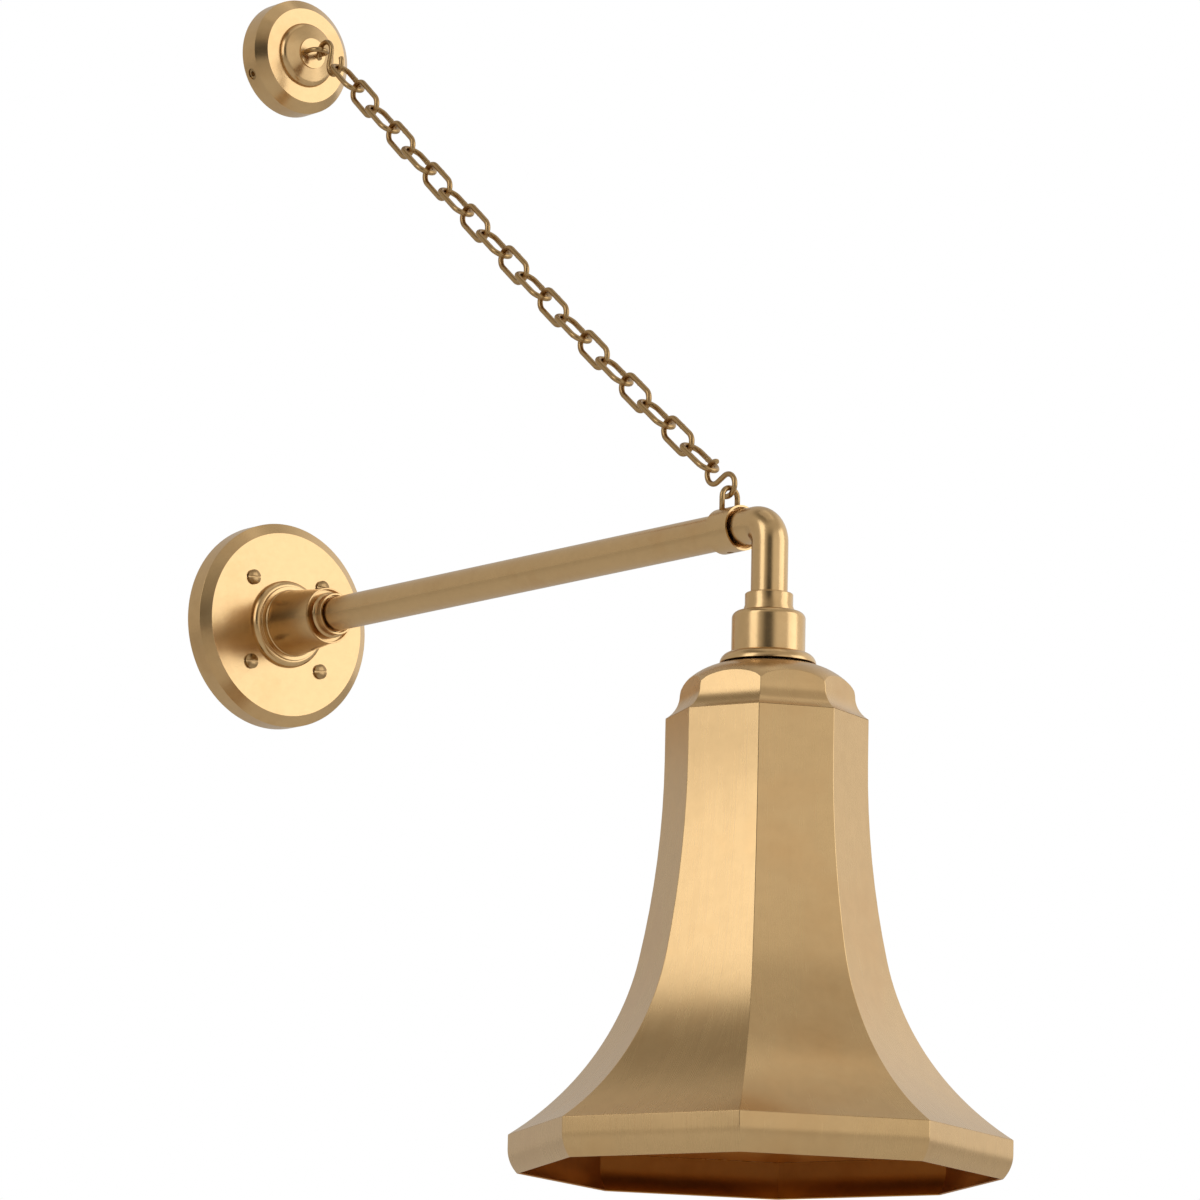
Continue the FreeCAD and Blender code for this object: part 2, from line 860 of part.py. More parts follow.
def neck_collar():
    body = on_pendant("neck_collar")
    top = -mm.neck_top_drop
    flare_foot = neck_bottom + mm.neck_foot_height
    turn(
        body,
        [
            (arm_bore, top),
            (mm.neck_radius - mm.neck_chamfer, top),
            (mm.neck_radius, top - mm.neck_chamfer),
            (mm.neck_radius, flare_foot + mm.neck_flare_height),
            (mm.neck_foot_radius, flare_foot),
            (mm.neck_foot_radius, neck_bottom),
            (nipple_bore, neck_bottom),
            (nipple_bore, web_top),
            (arm_bore, web_top),
        ],
    )
    return body


def socket_cup():
    body = on_pendant("socket_cup")
    shoulder = mm.cup_radius - mm.cup_round
    inside = mm.cup_radius - mm.cup_wall
    turn(
        body,
        [
            (nipple_bore, neck_bottom),
            (shoulder, neck_bottom, -mm.cup_round),
            (mm.cup_radius, neck_bottom - mm.cup_round),
            (mm.cup_radius, cup_bottom),
            (inside, cup_bottom),
            (inside, neck_bottom - mm.cup_round),
            (shoulder, neck_bottom - mm.cup_wall),
            (nipple_bore, neck_bottom - mm.cup_wall),
        ],
    )
    return body


def shade_flange():
    """Ring under the cup, its edge rounded out over the top of the shade."""
    body = on_pendant("shade_flange")
    edge_top = flange_bottom + mm.flange_edge
    swell = mm.flange_radius - mm.cup_radius
    height = mm.flange_height - mm.flange_edge
    # The round is an arc that stands square on the edge: its radius follows from both spans.
    bend = (swell * swell + height * height) / (2 * height) * 1.02
    bore = mm.holder_skirt_radius + mm.shade_nut_fit
    turn(
        body,
        [
            (bore, flange_bottom),
            (mm.flange_radius, flange_bottom),
            (mm.flange_radius, edge_top, bend),
            (mm.cup_radius, cup_bottom),
            (bore, cup_bottom),
        ],
    )
    return body


def cup_nipple():
    body = on_pendant("cup_nipple")
    top = web_top + mm.nipple_nut_height + mm.nipple_end_length
    bottom = holder_top - mm.nipple_nut_height
    turn(
        body,
        [
            (mm.nipple_bore_radius, bottom),
            (mm.nipple_radius, bottom),
            (mm.nipple_radius, top),
            (mm.nipple_bore_radius, top),
        ],
    )
    return body


def cup_nipple_nut():
    return nut(
        "cup_nipple_nut",
        mm.nipple_nut_flat_radius,
        nipple_bore,
        web_top,
        mm.nipple_nut_height,
        UPRIGHT,
        y=-mm.arm_reach,
    )


# ---------------------------------------------------------------------------------------------
# Lampholder: porcelain body, screw shell and centre contact, and the nut that holds the shade
# ---------------------------------------------------------------------------------------------

skirt_bottom = flange_bottom - mm.holder_skirt_below_flange
cavity_top = holder_top - mm.holder_floor
thread_top = cavity_top - mm.thread_top_gap
thread_bottom = skirt_bottom + mm.thread_set_in


def lampholder_body():
    body = on_pendant("lampholder_body")
    shoulder = holder_top - mm.holder_shoulder_drop
    turn(
        body,
        [
            (nipple_bore, holder_top),
            (mm.holder_radius, holder_top),
            (mm.holder_radius, shoulder),
            (mm.holder_skirt_radius, shoulder),
            (mm.holder_skirt_radius, skirt_bottom),
            (mm.holder_cavity_radius, skirt_bottom),
            (mm.holder_cavity_radius, cavity_top),
            (nipple_bore, cavity_top),
        ],
    )
    return body


def lampholder_shell():
    """Brass sleeve that a lamp's cap screws into."""
    body = on_pendant("lampholder_shell")
    turn(
        body,
        [
            (mm.thread_radius, thread_bottom),
            (mm.thread_radius + mm.thread_wall, thread_bottom),
            (mm.thread_radius + mm.thread_wall, thread_top),
            (mm.thread_crown_hole_radius, thread_top),
            (mm.thread_crown_hole_radius, thread_top - mm.thread_wall),
            (mm.thread_radius, thread_top - mm.thread_wall),
        ],
    )
    return body


def lampholder_contact():
    body = on_pendant("lampholder_contact")
    face = cavity_top - mm.contact_height
    turn(
        body,
        [
            (0, cavity_top),
            (0, face),
            (mm.contact_radius - mm.contact_crown, face),
            (mm.contact_radius, face + mm.contact_crown),
            (mm.contact_radius, cavity_top),
        ],
    )
    return body


def shade_nut():
    """Flanged ring nut on the lampholder's skirt, under the shade's top."""
    body = on_pendant("shade_nut")
    bore = mm.holder_skirt_radius + mm.shade_nut_fit
    top = flange_bottom - mm.running_gap - mm.shade_wall - mm.running_gap
    turn(
        body,
        [
            (bore, top),
            (mm.shade_nut_radius, top),
            (mm.shade_nut_radius, top - mm.shade_nut_flange),
            (mm.shade_nut_grip_radius, top - mm.shade_nut_flange),
            (mm.shade_nut_grip_radius, top - mm.shade_nut_height),
            (bore, top - mm.shade_nut_height),
        ],
    )
    return body


# ---------------------------------------------------------------------------------------------
# Shade: domed cap, eight-sided bell and rim band, soldered edge to edge
# ---------------------------------------------------------------------------------------------

cap_top = flange_bottom - mm.running_gap
facet_foot = cap_top - mm.cap_facet_height
bell_top = facet_foot - mm.cap_cove_drop
bell_bottom = bell_top - mm.bell_height
# The bell's edges point along the arm and across it, so its panels face halfway between.
PANEL_TURN = Rotation(Vector(0, 0, 1), math.degrees(HALF_SIDE))


def on_shade(label):
    return new_body(label, PANEL_TURN, y=-mm.arm_reach)


def mitred(body, outline):
    """Sweeps the (apothem, height) outline round the eight sides, mitred at each edge."""
    flat = mm.bell_neck_apothem
    path = [(flat, 0)] + polygon(flat, SHADE_SIDES) + [(flat, 0)]
    spine = new_sketch(body, body.Label + "_sides", "XY_Plane")
    draw_path(spine, path, closed=False)
    profile = new_sketch(body, body.Label + "_profile", "XZ_Plane")
    draw_path(profile, outline, closed=True)
    pipe = body.newObject("PartDesign::AdditivePipe", body.Label + "_panels")
    pipe.Profile = profile
    pipe.Spine = (spine, [f"Edge{i + 1}" for i in range(SHADE_SIDES + 1)])
    pipe.Transition = "Right corner"
    body.Tip = pipe
    return pipe


def dome_form(label, inset):
    """The cap's dome of revolution, closed below the facets, set in by the wall or not."""
    body = on_shade(label)
    dome = mm.dome_radius - inset
    shoulder = mm.dome_shoulder_radius - inset
    centre = cap_top - mm.dome_radius
    turn_x = mm.dome_flat_radius + dome * sine(mm.dome_angle)
    turn_z = centre + dome * cosine(mm.dome_angle)
    edge_x = turn_x + shoulder * (1 - sine(mm.dome_angle))
    edge_z = turn_z - shoulder * cosine(mm.dome_angle)
    outside = mm.bell_neck_apothem + mm.cap_cove_drop
    turn(
        body,
        [
            (0, cap_top - inset),
            (mm.dome_flat_radius, cap_top - inset, -dome),
            (turn_x, turn_z, -shoulder),
            (edge_x, edge_z),
            (outside, edge_z),
            (outside, bell_top - mm.cap_cove_drop),
            (0, bell_top - mm.cap_cove_drop),
        ],
    )
    return body


def facet_form(label, inset, foot):
    """The cap's eight facets and the cove under them, as a thick ring, set in or not."""
    body = on_shade(label)
    facet = mm.cap_facet_apothem - inset
    bend = mm.cap_cove_radius + inset
    cove_x = mm.cap_facet_apothem + mm.cap_cove_radius
    foot_x = cove_x - root(bend * bend - mm.cap_cove_drop * mm.cap_cove_drop)
    core = mm.holder_radius / 2
    outline = [
        (core, cap_top + mm.shade_wall),
        (facet, cap_top + mm.shade_wall),
        (facet, facet_foot, bend),
        (foot_x, bell_top),
    ]
    if foot.value:
        outline.append((foot_x, bell_top - foot))
    outline.append((core, bell_top - foot))
    mitred(body, outline)
    return body


def shade_cap():
    """Dome and facets meet in eight shallow arcs; the inside repeats them one wall further in."""
    none = as_size(0)
    forms = []
    for side, inset, foot in (("outer", none, none), ("inner", mm.shade_wall, mm.shade_wall)):
        form = doc.addObject("Part::Common", f"cap_{side}")
        form.Base = dome_form(f"cap_{side}_dome", inset)
        form.Tool = facet_form(f"cap_{side}_facets", inset, foot)
        forms.append(form)
    shell = doc.addObject("Part::Cut", "cap_shell")
    shell.Base, shell.Tool = forms
    hole = doc.addObject("Part::Cylinder", "cap_hole")
    radius = mm.holder_skirt_radius + mm.running_gap
    hole.Radius = radius.value
    hole.setExpression("Radius", radius.text)
    depth = mm.shade_wall * 2 + mm.cap_facet_height + mm.cap_cove_drop + mm.cap_cove_drop
    hole.Height = depth.value
    hole.setExpression("Height", depth.text)
    set_position(hole, UPRIGHT, y=-mm.arm_reach, z=cap_top + mm.shade_wall - depth)
    cap = doc.addObject("Part::Cut", "shade_cap")
    cap.Label = "shade_cap"
    cap.Base = shell
    cap.Tool = hole
    return cap


# The bell's outline is a straight neck and two arcs that follow on smoothly, both curving out.
bend_start = bell_top - mm.bell_straight_length
upper_out = 1 - cosine(mm.bell_upper_angle)
upper_centre_x = mm.bell_neck_apothem + mm.bell_upper_radius
waist_x = mm.bell_neck_apothem + mm.bell_upper_radius * upper_out
waist_z = bend_start - mm.bell_upper_radius * sine(mm.bell_upper_angle)
# The lower arc takes up the height that is left, and ends at the foot's own slope.
lower_turn = sine(mm.bell_foot_angle) - sine(mm.bell_upper_angle)
bell_lower_radius = (waist_z - bell_bottom) / lower_turn
lower_centre_x = waist_x + bell_lower_radius * cosine(mm.bell_upper_angle)
lower_centre_z = waist_z + bell_lower_radius * sine(mm.bell_upper_angle)
lower_drop = lower_centre_z - bell_bottom


def bell_mouth(inset):
    """Apothem of the bell's surface at its foot, set in by the wall or not."""
    bend = bell_lower_radius + inset
    return lower_centre_x - root(bend * bend - lower_drop * lower_drop)


rim_apothem = bell_mouth(0)


def shade_bell():
    body = on_shade("shade_bell")
    wall = mm.shade_wall
    outline = [
        (mm.bell_neck_apothem, bell_top),
        (mm.bell_neck_apothem, bend_start, mm.bell_upper_radius),
        (waist_x, waist_z, bell_lower_radius),
        (rim_apothem, bell_bottom),
        (bell_mouth(wall), bell_bottom, -(bell_lower_radius + wall)),
        (
            waist_x - wall * cosine(mm.bell_upper_angle),
            waist_z - wall * sine(mm.bell_upper_angle),
            -(mm.bell_upper_radius + wall),
        ),
        (mm.bell_neck_apothem - wall, bend_start),
        (mm.bell_neck_apothem - wall, bell_top),
    ]
    mitred(body, outline)
    return body


def shade_rim():
    """Band under the bell: upright, then rolled in at the foot."""
    body = on_shade("shade_rim")
    wall = mm.shade_wall
    roll_top = bell_bottom - mm.rim_straight_length
    centre = rim_apothem - mm.rim_round_radius
    inner_round = mm.rim_round_radius - wall
    across, down = cosine(mm.rim_round_angle), sine(mm.rim_round_angle)
    outline = [
        (rim_apothem, bell_bottom),
        (rim_apothem, roll_top, -mm.rim_round_radius),
        (centre + mm.rim_round_radius * across, roll_top - mm.rim_round_radius * down),
        (centre + inner_round * across, roll_top - inner_round * down, inner_round),
        (rim_apothem - wall, roll_top),
        (rim_apothem - wall, bell_bottom),
    ]
    mitred(body, outline)
    return body


# ---------------------------------------------------------------------------------------------
# Chain: it sets the canopy's height, because it hangs between the canopy's and the collar's loops
# ---------------------------------------------------------------------------------------------

link_half = (mm.link_length / 2 - mm.link_wire_radius).value
canopy_face = mm.canopy_depth + mm.canopy_step_rise + mm.canopy_dome_rise + mm.canopy_boss_height
canopy_crown = canopy_face + mm.canopy_loop_stand


def seat(bend_radius, wire, other_wire):
    """From a hook's bend centre to the wire that it holds, with the gap between the wires."""
    return (bend_radius - wire - other_wire - mm.link_gap).value


loop_seat = seat(mm.hook_bend_radius, mm.hook_wire_radius, mm.loop_wire_radius)
link_seat = seat(mm.hook_bend_radius, mm.hook_wire_radius, mm.link_wire_radius)
link_overlap = (mm.link_wire_radius + mm.link_wire_radius + mm.link_gap).value
hook_span = mm.hook_centres.value

# Each piece of the chain as (length along the chain, centre's share of it), wire to wire.
chain_runs = [loop_seat + hook_span + link_seat]
chain_runs += [2 * link_half] * LINK_COUNT
chain_runs += [link_seat + hook_span + loop_seat]
chain_steps = list(chain_runs)
for i in range(1, LINK_COUNT):
    chain_steps[i] -= link_overlap

# The chain sags a little: each piece hangs a shade flatter than the one above it.
total_run = sum(chain_steps)
lean = []
travelled = 0.0
for step in chain_steps:
    share = (travelled + step / 2) / total_run
    lean.append(math.radians(mm.chain_sag_angle.value * (0.5 - share)))
    travelled += step

# The mean slope is the one that takes the chain from the canopy's loop to the collar's.
span_out = (loop_out - canopy_crown).value
along = sum(step * math.cos(a) for step, a in zip(chain_steps, lean))
sideways = sum(step * math.sin(a) for step, a in zip(chain_steps, lean))
mean_slope = math.acos(span_out / math.hypot(along, sideways)) - math.atan2(sideways, along)
slopes = [mean_slope + a for a in lean]
fall = sum(step * math.sin(slope) for step, slope in zip(chain_steps, slopes))
canopy_height = loop_crown.value + fall


def directions(slope):
    """Unit vectors down the chain, and square to it in the plane of the arm."""
    down_chain = Vector(0, -math.cos(slope), -math.sin(slope))
    square = Vector(0, -math.sin(slope), math.cos(slope))
    return down_chain, square


def link_master():
    """One welded link, drawn flat with its length along X."""
    body = new_body("link_master")
    bend = mm.link_width / 2 - mm.link_wire_radius
    straight = mm.link_length / 2 - mm.link_wire_radius - bend
    path = (
        [(0, -bend)]
        + bend_points(straight, 0, bend, -90, 90)
        + bend_points(-straight, 0, bend, 90, 270)
        + [(0, -bend)]
    )
    wire_form(body, path, mm.link_wire_radius)
    return body


def hook_master():
    """One S-hook, drawn flat about its middle, with its bends' centres along a slant.

    The straight run between the bends lies along X through the middle.
    """
    body = new_body("hook_master")
    half = mm.hook_centres / 2
    bend = mm.hook_bend_radius
    straight = root(half * half - bend * bend)
    first = bend_points(straight, bend, bend, -90, mm.hook_bend_angle.value - 90)
    path = [(0, 0)] + first
    wire_form(body, path, mm.hook_wire_radius)
    doc.recompute()
    half_hook = body.Tip
    pattern = body.newObject("PartDesign::PolarPattern", "hook_second_half")
    pattern.Originals = [half_hook]
    axis_plane = [f for f in body.Origin.OriginFeatures if f.Role == "Z_Axis"][0]
    pattern.Axis = (axis_plane, [""])
    pattern.Angle = 360
    pattern.Occurrences = 2
    body.Tip = pattern
    return body


def chain():
    """Both S-hooks and the links between them, each placed where the one above it leaves off."""
    hook = hook_master()
    link = link_master()
    across = Vector(1, 0, 0)
    half = mm.hook_centres.value / 2
    slant = math.asin(mm.hook_bend_radius.value / half)
    pieces = []
    start = in_room(canopy_crown.value, canopy_height)
    for i, (run, step, slope) in enumerate(zip(chain_runs, chain_steps, slopes)):
        down_chain, square = directions(slope)
        if i == 0 or i == LINK_COUNT + 1:
            first_seat = loop_seat if i == 0 else link_seat
            middle = start + down_chain * (first_seat + half)
            side = square if i == 0 else -square
            local_x = down_chain * math.cos(slant) - side * math.sin(slant)
            local_y = down_chain * math.sin(slant) + side * math.cos(slant)
            label = "s_hook_upper" if i == 0 else "s_hook_lower"
            turned = Rotation(local_x, local_y, local_x.cross(local_y), "XYZ")
            pieces.append(copy_of(hook, label, turned, middle))
        else:
            middle = start + down_chain * (run / 2)
            local_y = across if i % 2 else square
            turned = Rotation(down_chain, local_y, down_chain.cross(local_y), "XYZ")
            pieces.append(copy_of(link, f"link_{i:02d}", turned, middle))
        start = start + down_chain * step
    return pieces


# ---------------------------------------------------------------------------------------------
# Canopy, its bracket and screw, and its chain loop
# ---------------------------------------------------------------------------------------------

SCREW_SIDE = OUT_OF_WALL.multiply(Rotation(Vector(0, 0, 1), mm.canopy_screw_angle.value))
canopy_inside = mm.canopy_radius - mm.canopy_wall
canopy_back = canopy_face - mm.canopy_boss_height - mm.canopy_wall
bracket_outside = canopy_inside - mm.canopy_bracket_gap


def canopy():
    body = new_body("canopy", SCREW_SIDE, z=canopy_height)
    step_top = mm.canopy_depth + mm.canopy_step_rise
    boss_foot = canopy_face - mm.canopy_boss_height
    inner_face = mm.canopy_depth - mm.canopy_wall
    turn(
        body,
        [
            (canopy_inside, 0),
            (mm.canopy_radius, 0),
            (mm.canopy_radius, mm.canopy_rim_depth),
            (mm.canopy_face_radius, mm.canopy_depth),
            (mm.canopy_step_radius, mm.canopy_depth, mm.canopy_step_round),
            (mm.canopy_dome_radius, step_top),
            (mm.canopy_boss_radius, boss_foot),
            (mm.canopy_boss_radius, canopy_face),
            (0, canopy_face),
            (0, canopy_back),
            (mm.canopy_boss_radius - mm.canopy_wall, canopy_back),
            (mm.canopy_dome_radius - mm.canopy_wall, step_top - mm.canopy_wall),
            (mm.canopy_step_radius - mm.canopy_wall, inner_face),
            (mm.canopy_face_radius - mm.canopy_wall / 2, inner_face),
            (canopy_inside, mm.canopy_rim_depth - mm.canopy_wall / 2),
        ],
    )
    half = mm.loop_half_width
    leg_x = half * cosine(mm.canopy_screw_angle)
    leg_y = -(half * sine(mm.canopy_screw_angle))
    legs = [(leg_x, leg_y, leg_hole), (-leg_x, -leg_y, leg_hole)]
    cut(body, "loop_holes", "XY_Plane", lambda sketch: draw_circles(sketch, legs))
    hole = [(0, mm.canopy_screw_depth, mm.canopy_screw_radius + mm.running_gap)]
    cut(
        body,
        "screw_hole",
        "YZ_Plane",
        lambda sketch: draw_circles(sketch, hole),
        "One side",
        reverse=True,
    )
    return body


def canopy_set_screw():
    """Socket set screw through the canopy's side, bearing on the bracket's flange."""
    outward = SCREW_SIDE.multiply(Rotation(Vector(0, 1, 0), 90))
    body = new_body("canopy_set_screw", outward, y=-mm.canopy_screw_depth, z=canopy_height)
    end = mm.canopy_radius - mm.canopy_screw_recess
    turn(
        body,
        [
            (0, bracket_outside),
            (mm.canopy_screw_radius, bracket_outside),
            (mm.canopy_screw_radius, end),
            (0, end),
        ],
    )
    socket = new_sketch(body, "canopy_set_screw_socket_outline", "XY_Plane")
    draw_path(socket, polygon(mm.canopy_screw_socket, 6), closed=True)
    floor = end - mm.canopy_screw_socket
    socket.AttachmentOffset = Placement(Vector(0, 0, floor.value), Rotation())
    socket.setExpression("AttachmentOffset.Base.z", floor.text)
    pocket = body.newObject("PartDesign::Pocket", "canopy_set_screw_socket")
    pocket.Profile = socket
    pocket.Type = "ThroughAll"
    pocket.Reversed = True
    body.Tip = pocket
    return body


def canopy_bracket():
    """Flanged steel cup on the wall that the canopy slips over."""
    body = new_body("canopy_bracket", OUT_OF_WALL, z=canopy_height)
    inside = bracket_outside - mm.canopy_bracket_wall
    turn(
        body,
        [
            (0, 0),
            (bracket_outside, 0),
            (bracket_outside, mm.canopy_bracket_height),
            (inside, mm.canopy_bracket_height),
            (inside, mm.canopy_bracket_wall),
            (0, mm.canopy_bracket_wall),
        ],
    )
    half = mm.canopy_hole_spacing / 2
    cut(
        body,
        "wall_holes",
        "XY_Plane",
        lambda sketch: draw_circles(
            sketch, [(half, 0, mm.canopy_hole_radius), (-half, 0, mm.canopy_hole_radius)]
        ),
    )
    return body


def canopy_loop():
    """Level staple through the canopy's boss, its legs brazed behind it."""
    foot = canopy_back - mm.canopy_loop_end
    return staple("canopy_loop", Vector(0, -1, 0), foot, canopy_crown, -foot, canopy_height)


# ---------------------------------------------------------------------------------------------
# Build, check and write
# ---------------------------------------------------------------------------------------------

nodes = [
    wall_plate(),
    plate_screws(),
    mounting_bracket(),
    base_ring(),
    arm_socket(),
    arm_ring(),
    arm_tube(),
    lock_nut(),
    end_collar(),
    chain_loop(),
    collar_set_screw(),
    swivel_stem(),
    swivel_nut(),
    elbow(),
    neck_collar(),
    socket_cup(),
    shade_flange(),
    cup_nipple(),
    cup_nipple_nut(),
    lampholder_body(),
    lampholder_shell(),
    lampholder_contact(),
    shade_nut(),
    shade_cap(),
    shade_bell(),
    shade_rim(),
    canopy(),
    canopy_set_screw(),
    canopy_bracket(),
    canopy_loop(),
]
nodes += chain()
doc.recompute()

failed = [thing.Label for thing in doc.Objects if {"Invalid", "Error"} & set(thing.State)]
if failed:
    raise ValueError(f"these objects failed: {failed}")
for node in nodes:
    shape = node.Shape
    if shape.isNull() or not shape.isValid() or not shape.Solids:
        raise ValueError(f"{node.Label} has no valid solid")
for node in nodes:
    node.Shape.exportStep(f"parts/{node.Label}.step")
print(f"{len(nodes)} nodes; canopy centre {canopy_height:.2f} mm above the arm")
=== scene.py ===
import math
import random

import bmesh
import bpy
from mathutils import Matrix, Vector


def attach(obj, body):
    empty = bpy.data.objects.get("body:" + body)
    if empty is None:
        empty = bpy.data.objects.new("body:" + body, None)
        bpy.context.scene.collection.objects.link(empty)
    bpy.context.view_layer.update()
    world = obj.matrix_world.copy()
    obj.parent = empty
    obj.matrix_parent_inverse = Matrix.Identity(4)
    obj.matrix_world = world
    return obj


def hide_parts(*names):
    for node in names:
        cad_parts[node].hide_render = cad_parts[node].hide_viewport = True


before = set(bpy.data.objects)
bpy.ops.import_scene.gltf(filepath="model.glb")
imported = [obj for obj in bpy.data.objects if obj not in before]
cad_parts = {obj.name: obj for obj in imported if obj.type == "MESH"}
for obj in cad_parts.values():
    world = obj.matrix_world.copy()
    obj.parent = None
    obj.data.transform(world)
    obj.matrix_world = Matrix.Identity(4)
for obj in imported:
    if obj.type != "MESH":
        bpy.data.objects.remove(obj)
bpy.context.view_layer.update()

# Looks of the wall sconce. The wall is the plane y = 0, the room is at -y, and +z is up. Shapes
# are drawn in millimetres and scaled to metres as each mesh is made.
MM = 0.001
ARM_REACH = 522.5
ARM_RADIUS = 11.5

# ---------------------------------------------------------------------------------------------
# Camera
# ---------------------------------------------------------------------------------------------

# Fitted to the wall plate, the canopy and the shade's rim at once. The place is in millimetres.
CAMERA_PLACE = Vector((-2572.33, -3533.98, -794.57))
CAMERA_RIGHT = Vector((0.77452, -0.63217, 0.02176))
CAMERA_UP = Vector((-0.13319, -0.12936, 0.98261))
CAMERA_BACK = Vector((-0.61837, -0.76395, -0.18439))

camera_data = bpy.data.cameras.new("camera")
camera_data.sensor_width = 36.0
camera_data.lens = 194.98
camera = bpy.data.objects.new("camera", camera_data)
bpy.context.scene.collection.objects.link(camera)
turn = Matrix((CAMERA_RIGHT, CAMERA_UP, CAMERA_BACK)).transposed().to_4x4()
camera.matrix_world = Matrix.Translation(CAMERA_PLACE * MM) @ turn
camera_data.clip_start = 0.1
camera_data.clip_end = 50.0
bpy.context.scene.camera = camera

# ---------------------------------------------------------------------------------------------
# Materials
# ---------------------------------------------------------------------------------------------


class Nodes:
    """A material's node tree, with short calls to add and join its nodes."""

    def __init__(self, name):
        self.material = bpy.data.materials.new(name)
        self.material.use_nodes = True
        self.tree = self.material.node_tree
        self.shader = self.tree.nodes["Principled BSDF"]

    def add(self, kind, **settings):
        node = self.tree.nodes.new(kind)
        for key, value in settings.items():
            setattr(node, key, value)
        return node

    def join(self, source, target):
        self.tree.links.new(source, target)

    def coordinate(self, scale, attribute=None):
        """Object coordinates, or a piece's own grain coordinates, scaled."""
        if attribute:
            source = self.add("ShaderNodeAttribute", attribute_name=attribute).outputs["Vector"]
        else:
            source = self.add("ShaderNodeTexCoord").outputs["Object"]
        mapping = self.add("ShaderNodeMapping")
        mapping.inputs["Scale"].default_value = scale
        self.join(source, mapping.inputs["Vector"])
        return mapping.outputs["Vector"]

    def noise(self, scale, detail=3.0, roughness=0.55, attribute=None):
        node = self.add("ShaderNodeTexNoise")
        node.inputs["Scale"].default_value = 1.0
        node.inputs["Detail"].default_value = detail
        node.inputs["Roughness"].default_value = roughness
        self.join(self.coordinate(scale, attribute), node.inputs["Vector"])
        return node.outputs["Fac"]

    def span(self, value, low, high, source=(0.3, 0.7)):
        node = self.add("ShaderNodeMapRange")
        node.inputs["From Min"].default_value = source[0]
        node.inputs["From Max"].default_value = source[1]
        node.inputs["To Min"].default_value = low
        node.inputs["To Max"].default_value = high
        self.join(value, node.inputs["Value"])
        return node.outputs["Result"]

    def ramp(self, value, stops):
        node = self.add("ShaderNodeValToRGB")
        elements = node.color_ramp.elements
        while len(elements) < len(stops):
            elements.new(0.5)
        for element, (place, colour) in zip(elements, stops):
            element.position = place
            element.color = (*colour, 1.0)
        self.join(value, node.inputs["Fac"])
        return node.outputs["Color"]

    def mix(self, factor, first, second, blend="MIX"):
        node = self.add("ShaderNodeMix", data_type="RGBA", blend_type=blend)
        node.inputs[0].default_value = factor
        self.join(first, node.inputs[6])
        self.join(second, node.inputs[7])
        return node.outputs[2]

    def math(self, operation, first, second):
        node = self.add("ShaderNodeMath", operation=operation)
        for value, socket in ((first, node.inputs[0]), (second, node.inputs[1])):
            if isinstance(value, (int, float)):
                socket.default_value = value
            else:
                self.join(value, socket)
        return node.outputs[0]

    def bump(self, height, strength, distance):
        node = self.add("ShaderNodeBump")
        node.inputs["Strength"].default_value = strength
        node.inputs["Distance"].default_value = distance
        self.join(height, node.inputs["Height"])
        self.join(node.outputs["Normal"], self.shader.inputs["Normal"])


def shade_of(colour, factor):
    """The colour times a factor, with no channel over 1."""
    return tuple(min(1.0, c * factor) for c in colour)


def metal(name, colour, rough, tarnish=0.25, grain=(5.0, 5.0, 1500.0), grain_depth=0.1, patch=22.0):
    """Brushed and lacquered metal: cloudy colour, fine grain along the piece, uneven gloss."""
    made = Nodes(name)
    cloud = made.noise((patch,) * 3, detail=4.0, roughness=0.6)
    speck = made.noise((patch * 9,) * 3, detail=3.0, roughness=0.65)
    brush = made.noise(grain, detail=4.0, roughness=0.7, attribute="grain")
    dark = shade_of(colour, 1.0 - tarnish)
    redder = (min(1.0, dark[0] * 1.06), dark[1] * 0.96, dark[2] * 0.86)
    base = made.ramp(cloud, [(0.28, redder), (0.5, colour), (0.75, shade_of(colour, 1.06))])
    fleck = made.ramp(speck, [(0.3, shade_of(colour, 0.86)), (0.62, shade_of(colour, 1.03))])
    base = made.mix(0.3, base, fleck)
    streak = made.ramp(brush, [(0.3, (0.92, 0.92, 0.92)), (0.7, (1.0, 1.0, 1.0))])
    base = made.mix(0.35, base, streak, blend="MULTIPLY")
    made.join(base, made.shader.inputs["Base Color"])
    made.shader.inputs["Metallic"].default_value = 1.0
    uneven = made.math("ADD", made.span(cloud, -0.02, 0.03), made.span(brush, -0.015, 0.02))
    made.join(made.math("ADD", uneven, rough), made.shader.inputs["Roughness"])
    height = made.math("ADD", brush, made.math("MULTIPLY", speck, 0.35))
    made.bump(height, grain_depth, 0.0002)
    return made.material


BRASS = (0.65, 0.438, 0.214)
antique = metal("antique_brass", BRASS, 0.22, tarnish=0.14, grain_depth=0.012)
shade_brass = metal(
    "shade_brass", BRASS, 0.26, tarnish=0.10, grain=(420.0, 6.0, 6.0), grain_depth=0.009, patch=11.0
)
wire_brass = metal(
    "wire_brass", (0.46, 0.295, 0.13), 0.27, tarnish=0.35, grain=(90.0, 90.0, 90.0), patch=60.0
)
dark_bronze = metal("screw_bronze", (0.40, 0.26, 0.12), 0.2, tarnish=0.35, patch=90.0)
plain_brass = metal("plain_brass", (0.70, 0.50, 0.23), 0.22, tarnish=0.12, patch=50.0)
# A darker, redder copy of the brass for the faces inside the shade and its rim: painted shade where
# little light reaches in.
inner_painted_shade = metal(
    "inner_brass_painted_shade", (0.50, 0.235, 0.06), 0.34, tarnish=0.35, grain_depth=0.03, patch=14.0
)
zinc = metal("zinc_steel", (0.60, 0.61, 0.62), 0.38, tarnish=0.12, patch=70.0)


